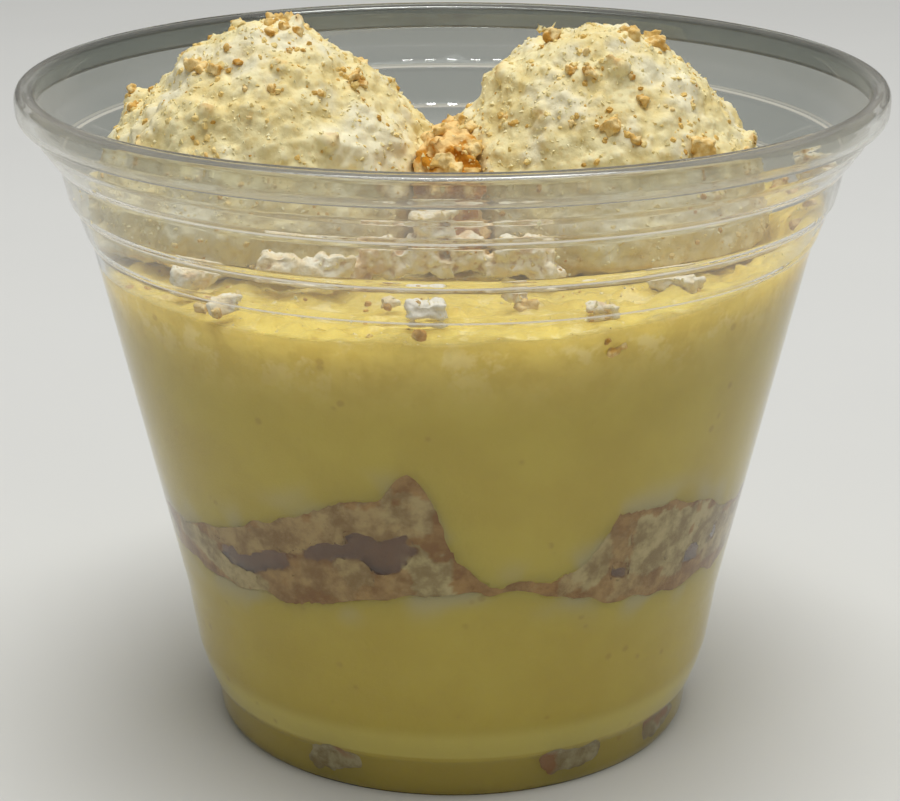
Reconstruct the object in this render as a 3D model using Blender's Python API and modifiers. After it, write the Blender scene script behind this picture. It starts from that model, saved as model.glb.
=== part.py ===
"""Banana pudding in a clear squat cup.

A turned clear plastic cup holds a lower pudding layer, a crumbled wafer layer, an upper pudding
layer, two scoops of whipped cream, a crumb heap between them and loose pieces of wafer.
Units are metres, +Z is up, and the origin is on the cup's axis at the foot's resting face.
"""

import math
import random

import bmesh
import bpy
from mathutils import Euler, Matrix, Vector, noise

MM = 0.001
GAP = 0.3 * MM

# The cup. The rim's outer diameter and the height drive the rest.
RIM_DIAMETER = 92.0 * MM
CUP_HEIGHT = 72.0 * MM
WALL = 0.5 * MM
CURL_HOLLOW = 0.6 * MM
CURL_DROP = 2.0 * MM
FOOT_INNER = 24.8 * MM
FLOOR_RISE = 1.3 * MM
SEGMENTS = 40
WALL_PROFILE = (
    # (radius, height) in mm: foot, shoulder, taper, three rings, and the flare under the lip
    (26.1, 0.0),
    (26.6, 1.0),
    (27.0, 4.3),
    (27.6, 5.0),
    (28.4, 7.2),
    (29.0, 9.4),
    (30.0, 16.0),
    (38.8, 55.8),
    (39.3, 56.5),
    (40.3, 59.6),
    (40.9, 60.3),
    (41.8, 64.2),
    (42.5, 64.9),
    (43.9, 66.9),
    (44.3, 69.0),
)

# The layers, as mean heights above the resting face.
FLOOR_HEIGHT = FLOOR_RISE + WALL + GAP
LOWER_TOP = 25.0 * MM
WAFER_DEPTH = 7.2 * MM
UPPER_TOP = 54.3 * MM
SMEAR_TURN = 84.0
SCOOP_BASE = 53.7 * MM

# The scoops of cream: centre across the cup, centre in depth, half width, half depth, height.
LEFT_SCOOP = (-19.5 * MM, 1.5 * MM, 20.5 * MM, 18.0 * MM, 24.3 * MM)
RIGHT_SCOOP = (16.0 * MM, 1.0 * MM, 19.0 * MM, 17.5 * MM, 24.0 * MM)
SCOOP_ROUNDNESS = 1.75
SEAM = -1.0 * MM
SCOOP_BLEND = 3.0 * MM

# The crumb heap between the scoops: half width, half depth and height.
HEAP_SIZE = (7.0 * MM, 11.0 * MM, 13.9 * MM)
HEAP_LEFT = 0.2 * MM
HEAP_FORWARD = 3.5 * MM

# How far a broken piece reaches from its centre, as a share of its size: upward, and to the wall.
REACH_UP = 0.62
REACH_OUT = 0.68

# Solids of free shape are found along rays from a centre.
RAY_STEP = 0.4 * MM
LONGEST_RAY = 48.0 * MM
FINE_RAY_STEP = 0.1 * MM

# Pieces of wafer sunk in the foot: turn from the front in degrees, width in mm.
BASE_WAFERS = ((56, 7.0), (27, 6.0), (-28, 4.0), (100, 5.0), (150, 6.5), (-155, 5.0), (-100, 6.0))

# Loose pieces on the upper pudding: place across and in depth, size, and turns about each axis.
TOP_WAFERS = (
    ((-7.6, -17.2), (4.2, 3.4, 3.6), (0.1, 0.0, 0.25)),
    ((-2.9, -17.0), (4.0, 3.8, 4.2), (0.0, 0.15, -0.3)),
    ((1.5, -16.9), (3.6, 3.6, 4.0), (0.1, 0.0, 0.2)),
    ((7.2, -17.6), (6.2, 3.6, 3.9), (0.0, -0.1, 0.1)),
    ((-2.6, -33.6), (4.2, 2.6, 2.4), (0.0, 0.1, 0.3)),
    ((-25.5, -21.5), (5.0, 4.0, 2.6), (0.0, 0.0, 0.8)),
    ((-8.0, 24.5), (6.0, 5.0, 3.4), (0.1, 0.0, 0.5)),
    ((3.5, 23.0), (5.0, 4.5, 4.0), (0.0, 0.1, -0.4)),
    ((22.0, 25.0), (4.6, 4.0, 3.0), (0.0, 0.0, 1.1)),
    ((-14.6, -20.4), (7.6, 3.2, 2.8), (0.0, 0.0, 0.1)),
)
SIDE_WAFER_SIZE = (4.2 * MM, 3.0 * MM, 3.4 * MM)

COLOURS = {
    "plastic": ((0.92, 0.94, 0.94), 0.05),
    "pudding": ((0.80, 0.62, 0.20), 0.35),
    "cream": ((0.88, 0.84, 0.66), 0.7),
    "wafer": ((0.72, 0.56, 0.34), 0.85),
    "crumb": ((0.66, 0.42, 0.14), 0.9),
}


def clear_scene():
    for old in list(bpy.data.objects):
        bpy.data.objects.remove(old)


def new_collection(name, hidden=False):
    made = bpy.data.collections.new(name)
    made.hide_render = hidden
    bpy.context.scene.collection.children.link(made)
    return made


def material(name):
    """A Principled material with the finish's colour and roughness."""
    found = bpy.data.materials.get(name)
    if found:
        return found
    colour, roughness = COLOURS[name]
    made = bpy.data.materials.new(name)
    made.use_nodes = True
    shader = made.node_tree.nodes["Principled BSDF"]
    shader.inputs["Base Color"].default_value = (*colour, 1)
    shader.inputs["Roughness"].default_value = roughness
    shader.inputs["Metallic"].default_value = 0.0
    return made


def add_mesh(name, mesh, finish, collection):
    made = bpy.data.objects.new(name, mesh)
    made.data.materials.append(material(finish))
    collection.objects.link(made)
    return made


def smooth_step(value, low, high):
    share = min(1.0, max(0.0, (value - low) / (high - low)))
    return share * share * (3 - 2 * share)


def bump(point, size, seed):
    """Smooth noise from -1 to 1 whose lumps are about that size."""
    return noise.noise(Vector(point) / size + Vector((seed * 7.3, seed * 3.1, seed * 5.7)))


def outer_radius(height):
    """The cup's outer radius at a height."""
    height = height / MM
    for (low_radius, low), (high_radius, high) in zip(WALL_PROFILE, WALL_PROFILE[1:]):
        if height <= high:
            share = (height - low) / (high - low)
            return (low_radius + (high_radius - low_radius) * max(0.0, share)) * MM
    return WALL_PROFILE[-1][0] * MM


def inside_radius(height):
    """The widest radius that food has at a height, clear of the wall by the gap."""
    reach = 0.6 * MM
    narrowest = min(outer_radius(height + step) for step in (-reach, 0.0, reach))
    return narrowest - WALL * 1.1 - GAP


def screwed(name, points):
    """A turned mesh from a profile of (radius, height), which runs down the outer side."""
    mesh = bpy.data.meshes.new(name)
    edges = [(n, n + 1) for n in range(len(points) - 1)]
    mesh.from_pydata([(radius, 0, height) for radius, height in points], edges, [])
    turned = bpy.data.objects.new(name, mesh)
    bpy.context.scene.collection.objects.link(turned)
    screw = turned.modifiers.new("turn", "SCREW")
    screw.steps = screw.render_steps = SEGMENTS
    screw.use_merge_vertices = True
    screw.merge_threshold = 0.00001
    screw.use_smooth_shade = True
    return turned


def as_mesh(obj):
    """The object's evaluated mesh as new data; the object itself is removed."""
    bpy.context.view_layer.update()
    graph = bpy.context.evaluated_depsgraph_get()
    mesh = bpy.data.meshes.new_from_object(obj.evaluated_get(graph))
    mesh.transform(obj.matrix_world)
    bpy.data.objects.remove(obj)
    return mesh


def build_cup(collection):
    """The clear cup: one sheet from the curled lip down the ringed wall to the raised floor."""
    across = RIM_DIAMETER / 2 - WALL - CURL_HOLLOW
    middle = CUP_HEIGHT - WALL - CURL_HOLLOW
    reach = across + CURL_HOLLOW
    lip = [(reach - 0.4 * MM, middle - CURL_DROP), (reach - 0.05 * MM, middle - 0.7 * CURL_DROP)]
    turns = 4
    for step in range(turns + 1):
        angle = math.pi * step / turns
        lip.append((across + CURL_HOLLOW * math.cos(angle), middle + CURL_HOLLOW * math.sin(angle)))
    wall = [(radius * MM, height * MM) for radius, height in reversed(WALL_PROFILE)]
    floor = [(FOOT_INNER, 0.0), (FOOT_INNER - 1.2 * MM, FLOOR_RISE), (0.0, FLOOR_RISE)]
    cup = screwed("cup", lip + wall + floor)
    sheet = cup.modifiers.new("sheet", "SOLIDIFY")
    sheet.thickness = WALL
    sheet.offset = -1
    sheet.use_even_offset = True
    mesh = as_mesh(cup)
    cup = add_mesh("cup", mesh, "plastic", collection)
    mesh.set_sharp_from_angle(angle=math.radians(40))
    return cup


def wafer_floor(x, y):
    """Height of the lower pudding's top."""
    return LOWER_TOP + 0.9 * MM * bump((x, y, 0), 16 * MM, 1) + 0.4 * MM * bump((x, y, 0), 7 * MM, 2)


def tongue(x, y):
    """1 at the front where the upper pudding runs down to the lower one, 0 away from it."""
    radius = math.hypot(x, y)
    turn = math.degrees(math.atan2(x, -y))
    across = 1 - smooth_step(abs(turn - 8.0), 4.0, 17.0)
    return across * smooth_step(radius, 20 * MM, 27 * MM)


def wafer_room(x, y):
    """Depth of the space that the wafer layer takes."""
    turn = math.degrees(math.atan2(x, -y))
    depth = WAFER_DEPTH + 2.6 * MM * bump((x, y, 0), 15 * MM, 3)
    depth += 3.2 * MM * math.exp(-(((turn + 16) / 20) ** 2)) * smooth_step(-y, 10 * MM, 28 * MM)
    depth += 1.4 * MM * math.exp(-(((turn - 47) / 15) ** 2))
    return depth * (1 - tongue(x, y)) + GAP * tongue(x, y)


def wafer_ceiling(x, y):
    """Height of the upper pudding's underside."""
    return wafer_floor(x, y) + GAP + wafer_room(x, y)


def wafer_top(x, y):
    """Height of the wafer layer's own uneven top."""
    share = 0.62 + 0.28 * bump((x, y, 0), 5 * MM, 4)
    return wafer_floor(x, y) + GAP + max(1.0 * MM, wafer_room(x, y) * share - GAP)


def scoop_distance(point, scoop):
    """Roughly how far a point lies outside a scoop."""
    across, deep, half_width, half_depth, height = scoop
    q = Vector(
        (
            (point[0] - across) / half_width,
            (point[1] - deep) / half_depth,
            (point[2] - SCOOP_BASE) / height,
        )
    )
    power = SCOOP_ROUNDNESS
    reach = (Vector((q.x, q.y)).length ** power + abs(q.z) ** power) ** (1 / power)
    return (reach - 1) * min(half_width, half_depth)


def cream_distance(point):
    """The two scoops run together, with a lumpy surface."""
    left = scoop_distance(point, LEFT_SCOOP)
    right = scoop_distance(point, RIGHT_SCOOP)
    share = max(SCOOP_BLEND - abs(left - right), 0.0) / SCOOP_BLEND
    joined = min(left, right) - share * share * SCOOP_BLEND / 4
    return joined - 0.8 * MM * bump(point, 7 * MM, 5) - 0.35 * MM * bump(point, 3 * MM, 6)


def top_surface(x, y):
    """Height of the upper pudding's top, level under the cream and smeared up the right wall."""
    clear = min(cream_distance((x, y, SCOOP_BASE + lift * MM)) for lift in (0, 2, 5))
    share = smooth_step(clear, 0.5 * MM, 3.0 * MM)
    turn = math.degrees(math.atan2(x, -y))
    side = x / (38 * MM)
    rise = 0.6 * MM + 0.9 * MM * side + 0.8 * MM * side * side
    rise += 0.5 * MM * bump((x, y, 0), 6 * MM, 7)
    smear = math.exp(-(((turn - SMEAR_TURN) / 24) ** 2))
    rise += 4.6 * MM * smear * smooth_step(math.hypot(x, y), 32 * MM, 38 * MM)
    return SCOOP_BASE - GAP + share * rise


def layer(name, low, high, finish, collection, top_rings, wall_rows, bottom_rings, rim_inset=None):
    """A disc of food between two uneven faces, out to the cup's wall.

    It is turned from a unit profile, and its points are then moved onto the two faces.
    """
    top = [(n / top_rings, 1.0) for n in range(top_rings + 1)]
    side = [(1.0, 1 - n / wall_rows) for n in range(1, wall_rows)]
    bottom = [(n / bottom_rings, 0.0) for n in range(bottom_rings, -1, -1)]
    turned = screwed(name, top + side + bottom)
    mesh = as_mesh(turned)
    for vertex in mesh.vertices:
        x, y, share = vertex.co
        reach = math.hypot(x, y)
        turn = math.atan2(y, x)
        inset = rim_inset(turn) if rim_inset else 0.0
        radius = 0.0
        height = 0.0
        # The wall's radius depends on the height and the height on the radius, so both settle.
        for _ in range(6):
            px, py = radius * math.cos(turn), radius * math.sin(turn)
            height = low(px, py) + (high(px, py) - low(px, py)) * share
            radius = reach * (inside_radius(height) - inset)
        vertex.co = (radius * math.cos(turn), radius * math.sin(turn), height)
    return add_mesh(name, mesh, finish, collection)


def fragment(name, size, centre, turn, seed, finish, collection, fine=2):
    """A broken piece of wafer: a ball squared off, roughened, scaled and turned."""
    shape = bmesh.new()
    bmesh.ops.create_icosphere(shape, subdivisions=fine, radius=1.0)
    place = Matrix.Translation(centre) @ Euler(turn).to_matrix().to_4x4()
    for vertex in shape.verts:
        blocky = Vector([math.copysign(abs(c) ** 0.55, c) for c in vertex.co])
        rough = 1 + 0.22 * bump(blocky, 0.9, seed)
        vertex.co = place @ Vector([c * s * rough * 0.5 for c, s in zip(blocky, size)])
    mesh = bpy.data.meshes.new(name)
    shape.to_mesh(mesh)
    shape.free()
    return add_mesh(name, mesh, finish, collection)


def cast_solid(name, centre, outside, finish, collection, around=30, up=15):
    """A solid whose points are found along rays from its centre, where outside() turns positive."""
    shape = bmesh.new()
    bmesh.ops.create_uvsphere(shape, u_segments=around, v_segments=up, radius=1.0)
    for vertex in shape.verts:
        near, far = 0.0, LONGEST_RAY
        for step in range(1, round(LONGEST_RAY / RAY_STEP) + 1):
            if outside(centre + vertex.co * (step * RAY_STEP)) > 0:
                near, far = (step - 1) * RAY_STEP, step * RAY_STEP
                break
        for _ in range(12):
            middle = (near + far) / 2
            if outside(centre + vertex.co * middle) > 0:
                far = middle
            else:
                near = middle
        vertex.co = centre + vertex.co * near
    mesh = bpy.data.meshes.new(name)
    shape.to_mesh(mesh)
    shape.free()
    return add_mesh(name, mesh, finish, collection)


def boolean(target, others, operation):
    """Joins or cuts the target with a list of objects, which are then removed."""
    helpers = bpy.data.collections.new("helpers")
    bpy.context.scene.collection.children.link(helpers)
    for other in others:
        for holder in list(other.users_collection):
            holder.objects.unlink(other)
        helpers.objects.link(other)
    modifier = target.modifiers.new(operation.lower(), "BOOLEAN")
    modifier.operation = operation
    modifier.operand_type = "COLLECTION"
    modifier.collection = helpers
    modifier.solver = "MANIFOLD"
    bpy.context.view_layer.update()
    graph = bpy.context.evaluated_depsgraph_get()
    mesh = bpy.data.meshes.new_from_object(target.evaluated_get(graph))
    target.modifiers.clear()
    target.data = mesh
    for other in list(helpers.objects):
        bpy.data.objects.remove(other)
    bpy.data.collections.remove(helpers)


def surface_point(centre, direction, outside):
    """Where a ray from the centre leaves a solid."""
    reach = 0.0
    while outside(centre + direction * reach) <= 0 and reach < LONGEST_RAY:
        reach += FINE_RAY_STEP
    return centre + direction * reach


def crumbs_on(target, centre, outside, count, sizes, seed, spread, keep):
    """Larger crumbs, half sunk in a surface: directions follow an even spiral with a seeded jitter."""
    draw = random.Random(seed)
    golden = math.pi * (3 - math.sqrt(5))
    made = []
    for number in range(count):
        lift = 1 - (number + 0.5) / count * spread
        across = math.sqrt(max(0.0, 1 - lift * lift))
        angle = number * golden + draw.uniform(-0.3, 0.3)
        direction = Vector((across * math.cos(angle), across * math.sin(angle), lift))
        point = surface_point(centre, direction.normalized(), outside)
        size = draw.uniform(*sizes)
        turn = [draw.uniform(0, math.tau) for _ in range(3)]
        if not keep(point, size):
            continue
        scale = (size, size * draw.uniform(0.7, 1.0), size * draw.uniform(0.6, 0.9))
        made.append(fragment("crumb", scale, point, turn, number, "crumb", target.users_collection[0], 1))
    boolean(target, made, "UNION")


def build_scoop(name, scoop, side, seed, collection):
    """One scoop of whipped cream, up to the seam, the wall and the pudding, with crumbs fused on."""
    across, deep = scoop[0], scoop[1]
    centre = Vector((across, deep, SCOOP_BASE + 4 * MM))

    def outside(point):
        edge = math.hypot(point[0], point[1]) - inside_radius(point[2])
        seam = side * (point[0] - SEAM) + GAP / 2
        return max(cream_distance(point), edge, seam, SCOOP_BASE - point[2])

    def keep(point, size):
        room = size * 0.75 + GAP
        clear_of_wall = math.hypot(point[0], point[1]) < inside_radius(point[2]) - room
        clear_of_seam = side * (point[0] - SEAM) < -room
        clear_of_heap = heap_distance(point) > room + GAP
        return clear_of_wall and clear_of_seam and clear_of_heap and point[2] > SCOOP_BASE + 4 * MM

    made = cast_solid(name, centre, outside, "cream", collection)
    crumbs_on(made, centre, outside, 20, (2.0 * MM, 3.4 * MM), seed, 0.85, keep)
    return made


def heap_distance(point):
    """The crumb heap's own outline, before the cream is taken from it."""
    q = Vector(
        (
            (point[0] - HEAP_LEFT) / HEAP_SIZE[0],
            (point[1] + HEAP_FORWARD) / HEAP_SIZE[1],
            (point[2] - UPPER_TOP) / HEAP_SIZE[2],
        )
    )
    return (q.length - 1) * HEAP_SIZE[0]


def build_heap(collection):
    """The heap of golden crumbs in the notch and valley between the scoops."""
    centre = Vector((0.0, -9.5 * MM, 61.0 * MM))

    def outside(point):
        cream = GAP + 0.1 * MM - cream_distance(point)
        floor = top_surface(point[0], point[1]) + GAP - point[2]
        rough = 0.5 * MM * bump(point, 2.4 * MM, 8)
        return max(heap_distance(point) + rough, cream, floor)

    def keep(point, size):
        return (
            cream_distance(point) > size * 0.75 + GAP
            and point[2] > top_surface(point[0], point[1]) + size * 0.75 + GAP
            and point[1] > -13.0 * MM
        )

    heap = cast_solid("crumb_heap", centre, outside, "crumb", collection, 22, 12)
    crumbs_on(heap, centre, outside, 26, (1.8 * MM, 3.0 * MM), 31, 1.1, keep)
    return heap


def at_wall(turn, height, inset):
    """A point on the cup's inside at a turn from the front (degrees, + to the right)."""
    radius = inside_radius(height) - inset
    angle = math.radians(turn - 90)
    return Vector((radius * math.cos(angle), radius * math.sin(angle), height))


def build_wafer_layer(collection):
    """The middle layer of crumbled wafer: a rough core with broken pieces fused along the wall."""

    def inset(angle):
        turn = math.degrees(math.atan2(math.cos(angle), -math.sin(angle)))
        return 1.6 * MM + 8.0 * MM * (1 - smooth_step(abs(turn - 8.0), 6.0, 16.0))

    def core_floor(x, y):
        return wafer_floor(x, y) + GAP

    core = layer("wafer_layer", core_floor, wafer_top, "wafer", collection, 6, 3, 3, inset)
    draw = random.Random(11)
    pieces = []
    turn = 22.0
    while turn < 354.0:
        depth = draw.uniform(4.0, 5.5) * MM
        width = draw.uniform(4.5, 8.0) * MM
        middle = at_wall(turn, LOWER_TOP + 3.5 * MM, depth * REACH_UP)
        nearby = [(middle.x + dx * MM, middle.y + dy * MM) for dx in (-4, 0, 4) for dy in (-4, 0, 4)]
        low = max(wafer_floor(x, y) for x, y in nearby) + 2 * GAP
        high = min(wafer_ceiling(x, y) for x, y in nearby) - GAP
        tall = min((high - low) / (2 * REACH_UP), draw.uniform(4.5, 7.5) * MM)
        if tall > 2.0 * MM:
            spare = high - low - tall * 2 * REACH_UP
            middle.z = low + tall * REACH_UP + spare * draw.uniform(0.0, 1.0)
            size = (width, depth, tall)
            spin = (0.0, 0.0, math.radians(turn))
            pieces.append(fragment("piece", size, middle, spin, draw.random() * 9, "wafer", collection, 1))
        turn += math.degrees((width + draw.uniform(0.5, 2.5) * MM) / (33 * MM))
    boolean(core, pieces, "UNION")
    return core


def build_base_wafers(lower, collection):
    """Pieces of wafer that lie on the cup's floor against the foot, and their pockets in the pudding."""
    draw = random.Random(5)
    outward = 1.0 * MM
    cutters = []
    for number, (turn, width) in enumerate(BASE_WAFERS):
        size = (width * MM, 4.0 * MM, draw.uniform(3.4, 4.4) * MM)
        centre = at_wall(turn, FLOOR_HEIGHT + size[2] * REACH_UP, size[1] * REACH_OUT)
        spin = (0.0, 0.0, math.radians(turn))
        fragment(f"base_wafer_{number + 1}", size, centre, spin, number + 20, "wafer", collection)
        # Each pocket is longer towards the wall, so that it opens through the pudding's side.
        around = 2.8 * GAP
        pocket = (size[0] + around, size[1] + around + 2.6 * outward, size[2] + around)
        shift = Vector((centre.x, centre.y, 0)).normalized() * outward
        cutters.append(fragment("pocket", pocket, centre + shift, spin, number + 20, "wafer", collection))
    boolean(lower, cutters, "DIFFERENCE")


def build_top_wafers(collection):
    """Loose pieces of wafer on the upper pudding, in front, at the right wall and behind."""

    def rest_height(x, y, half_width, half_depth):
        """The highest pudding under a piece."""
        across = (-half_width, 0.0, half_width)
        deep = (-half_depth, 0.0, half_depth)
        return max(top_surface(x + dx, y + dy) for dx in across for dy in deep)

    for number, ((x, y), size, turn) in enumerate(TOP_WAFERS):
        size = tuple(side * MM for side in size)
        x, y = x * MM, y * MM
        rest = rest_height(x, y, 2 * MM, 2 * MM)
        centre = (x, y, rest + GAP + size[2] * REACH_UP)
        fragment(f"top_wafer_{number + 1}", size, centre, turn, number + 40, "wafer", collection)
    seat = at_wall(SMEAR_TURN - 3.0, 62.0 * MM, SIDE_WAFER_SIZE[1] * REACH_OUT)
    rest = rest_height(seat.x, seat.y, 1.5 * MM, 2 * MM)
    seat.z = rest + GAP + SIDE_WAFER_SIZE[2] * REACH_UP
    spin = (0.0, 0.0, math.radians(SMEAR_TURN))
    fragment("side_wafer", SIDE_WAFER_SIZE, seat, spin, 60, "wafer", collection)


def surface_crumbs(upper):
    """Crumbs scattered on the open ring of pudding round the cream."""
    draw = random.Random(17)
    count = 26
    taken = [Vector((x * MM, y * MM, UPPER_TOP)) for (x, y), _, _ in TOP_WAFERS]
    made = []
    for number in range(count):
        turn = number * 360 / count + draw.uniform(-5, 5)
        point = at_wall(turn, UPPER_TOP, draw.uniform(2.5, 10.0) * MM)
        size = draw.uniform(1.4, 2.4) * MM
        if cream_distance((point.x, point.y, SCOOP_BASE)) < size + 1.0 * MM:
            continue
        if abs(point.x) < 11 * MM and point.y < -13 * MM and point.y > -20 * MM:
            continue
        if any((point - wafer).length < 4.5 * MM for wafer in taken):
            continue
        point.z = top_surface(point.x, point.y) + size * 0.1
        spin = [draw.uniform(0, math.tau) for _ in range(3)]
        scale = (size, size * 0.85, size * 0.75)
        made.append(fragment("crumb", scale, point, spin, number, "crumb", upper.users_collection[0], 1))
    boolean(upper, made, "UNION")


def build():
    clear_scene()
    dessert = new_collection("banana_pudding")
    build_cup(dessert)
    lower = layer("pudding_lower", lambda x, y: FLOOR_HEIGHT, wafer_floor, "pudding", dessert, 4, 10, 1)
    build_base_wafers(lower, dessert)
    build_wafer_layer(dessert)
    upper = layer("pudding_upper", wafer_ceiling, top_surface, "pudding", dessert, 9, 4, 6)
    surface_crumbs(upper)
    build_scoop("cream_left", LEFT_SCOOP, 1, 21, dessert)
    build_scoop("cream_right", RIGHT_SCOOP, -1, 22, dessert)
    build_heap(dessert)
    build_top_wafers(dessert)


build()
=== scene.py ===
# %% [markdown]
# Banana pudding in a clear cup. A thin plastic cup holds two layers of yellow custard with
# crumbled wafer between them, and two scoops of whipped cream dusted with crumbs on top. The packed
# model already gives every piece its place and size, so this lesson only gives the pieces their
# fine shapes and their finishes. Everything is in metres, and the cup stands on the floor at the
# origin, with the viewer on the -Y side.

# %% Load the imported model
import math
import random

import bmesh
import bpy
import numpy as np
from mathutils import Matrix, Vector, noise
from mathutils.bvhtree import BVHTree


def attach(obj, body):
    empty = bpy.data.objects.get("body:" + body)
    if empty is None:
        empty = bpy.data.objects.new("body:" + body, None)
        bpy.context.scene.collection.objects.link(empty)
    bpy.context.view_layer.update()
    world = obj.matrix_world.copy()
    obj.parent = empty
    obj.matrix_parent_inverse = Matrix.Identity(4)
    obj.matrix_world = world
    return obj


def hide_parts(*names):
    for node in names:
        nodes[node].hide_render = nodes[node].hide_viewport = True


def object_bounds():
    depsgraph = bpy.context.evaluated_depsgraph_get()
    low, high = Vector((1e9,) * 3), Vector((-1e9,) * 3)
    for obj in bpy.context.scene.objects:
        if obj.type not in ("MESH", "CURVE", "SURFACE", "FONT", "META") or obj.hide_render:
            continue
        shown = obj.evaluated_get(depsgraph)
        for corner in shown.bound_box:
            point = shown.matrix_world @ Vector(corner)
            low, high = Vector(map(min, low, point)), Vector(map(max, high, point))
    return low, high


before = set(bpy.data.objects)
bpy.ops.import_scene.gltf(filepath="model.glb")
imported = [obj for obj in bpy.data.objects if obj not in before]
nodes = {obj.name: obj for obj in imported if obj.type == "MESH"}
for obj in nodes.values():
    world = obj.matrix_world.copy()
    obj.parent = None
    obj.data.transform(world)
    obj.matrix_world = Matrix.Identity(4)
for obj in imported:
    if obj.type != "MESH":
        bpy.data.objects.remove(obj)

MM = 0.001
cad_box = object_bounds()
print("nodes:", len(nodes), "box in mm:", [[round(v / MM, 1) for v in corner] for corner in cad_box])

# %% [markdown]
# The photograph was taken from a little above the rim, close enough for the cup's two end ellipses
# to differ. A camera could be placed by eye, but its distance, height and tilt were fitted to the
# rim, the rings and the foot, which also fixes the lens. The small sideways shift only centres the
# cup in the picture, and no depth of field is used.

# %% Camera
PICTURE_WIDTH = 900
PICTURE_HEIGHT = 801
FOCAL_PIXELS = 2376
AXIS_PIXEL_OFFSET = 2.5
SENSOR = 36.0
camera_data = bpy.data.cameras.new("photo_camera")
camera = bpy.data.objects.new("photo_camera", camera_data)
bpy.context.scene.collection.objects.link(camera)
camera.location = (0, -249.7 * MM, 121.3 * MM)
camera.rotation_euler = (math.radians(90 - 19.02), 0, 0)
camera_data.sensor_width = SENSOR
camera_data.lens = FOCAL_PIXELS / PICTURE_WIDTH * SENSOR
camera_data.shift_x = -AXIS_PIXEL_OFFSET / PICTURE_WIDTH
camera_data.clip_start = 0.01
bpy.context.scene.camera = camera
print("lens in mm:", round(camera_data.lens, 1))

# %% [markdown]
# Materials are easier to read as sums than as a web of nodes. This class wraps a number socket, so
# that Python's + - and * add Math nodes, and the other class builds any node from its type, its
# settings and its sockets. Colours never pass through a Math node, because it would turn them grey.

# %% Shader sums
class Amount:
    """A number socket of a material, on which + - and * add Math nodes."""

    def __init__(self, finish, socket):
        self.finish = finish
        self.socket = socket

    def sum_with(self, operation, first, second):
        made = self.finish.node("ShaderNodeMath", {"operation": operation}, {0: first, 1: second})
        return Amount(self.finish, made.outputs[0])

    def __add__(self, other):
        return self.sum_with("ADD", self, other)

    def __radd__(self, other):
        return self.sum_with("ADD", other, self)

    def __sub__(self, other):
        return self.sum_with("SUBTRACT", self, other)

    def __rsub__(self, other):
        return self.sum_with("SUBTRACT", other, self)

    def __mul__(self, other):
        return self.sum_with("MULTIPLY", self, other)

    def __rmul__(self, other):
        return self.sum_with("MULTIPLY", other, self)


def set_stops(ramp, stops):
    while len(ramp.elements) > 1:
        ramp.elements.remove(ramp.elements[0])
    ramp.elements[0].position, ramp.elements[0].color = stops[0]
    for position, colour in stops[1:]:
        ramp.elements.new(position).color = colour


def add_node(tree, kind, settings=None, sockets=None):
    """Adds a node: its settings are set first, then each socket's value or link."""
    made = tree.nodes.new(kind)
    for name, value in (settings or {}).items():
        if name == "stops":
            set_stops(made.color_ramp, value)
        else:
            setattr(made, name, value)
    for name, value in (sockets or {}).items():
        value = value.socket if isinstance(value, Amount) else value
        if isinstance(value, bpy.types.NodeSocket):
            tree.links.new(value, made.inputs[name])
        else:
            made.inputs[name].default_value = value
    return made


class Finish:
    """One material, with the object's own coordinates ready for its patterns."""

    def __init__(self, name):
        self.material = bpy.data.materials.new(name)
        self.material.use_nodes = True
        self.tree = self.material.node_tree
        self.tree.nodes.clear()
        self.out = self.tree.nodes.new("ShaderNodeOutputMaterial")
        self.place = self.node("ShaderNodeTexCoord").outputs["Object"]

    def node(self, kind, settings=None, sockets=None):
        return add_node(self.tree, kind, settings, sockets)

    def cloud(self, size, detail=3.0, roughness=0.5):
        """Noise whose lumps are about that size in metres, from about 0.25 to 0.75."""
        sockets = {"Vector": self.place, "Scale": 1 / size, "Detail": detail, "Roughness": roughness}
        return Amount(self, self.node("ShaderNodeTexNoise", None, sockets).outputs["Fac"])

    def cells(self, size, output="Distance"):
        """Voronoi cells of that size: the distance from each cell's point, or its colour."""
        made = self.node("ShaderNodeTexVoronoi", None, {"Vector": self.place, "Scale": 1 / size})
        found = made.outputs[output]
        return Amount(self, found) if output == "Distance" else found

    def step(self, value, low, high):
        """0 below low and 1 above high, smooth between."""
        sockets = {"Value": value, "From Min": low, "From Max": high}
        made = self.node("ShaderNodeMapRange", {"interpolation_type": "SMOOTHSTEP"}, sockets)
        return Amount(self, made.outputs["Result"])

    def mix(self, share, first, second):
        """One colour where share is 0 and the other where it is 1."""
        sockets = {"Factor": share, "A": first, "B": second}
        return self.node("ShaderNodeMix", {"data_type": "RGBA"}, sockets).outputs[2]

    def grain(self, name):
        """A number kept at each of the mesh's points."""
        return Amount(self, self.node("ShaderNodeAttribute", {"attribute_name": name}).outputs["Fac"])

    def mark(self, place, sizes):
        """1 at one place of the object, fading to 0 at an ellipsoid of those half sizes."""
        vector = "ShaderNodeVectorMath"
        away = self.node(vector, {"operation": "SUBTRACT"}, {0: self.place, 1: place}).outputs[0]
        share = self.node(vector, {"operation": "DIVIDE"}, {0: away, 1: sizes}).outputs[0]
        length = self.node(vector, {"operation": "LENGTH"}, {0: share}).outputs["Value"]
        return 1 - self.step(Amount(self, length), 0.3, 1.0)

    def patches(self, size, low, high, detail=3.0, roughness=0.5):
        """Noise of that size made into patches: 0 where it is below low, and 1 above high."""
        return self.step(self.cloud(size, detail, roughness), low, high)

    def pits(self, low, high):
        """1 in the pits between the ridges that the mesh has stored, where finishes paint shade."""
        return 1 - self.step(self.grain("ridge"), low, high)

    def bump(self, height, distance, strength=1.0):
        sockets = {"Height": height, "Distance": distance, "Strength": strength}
        return self.node("ShaderNodeBump", None, sockets).outputs["Normal"]

    def surface(self, shader):
        self.tree.links.new(shader, self.out.inputs["Surface"])
        return self.material


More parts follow.
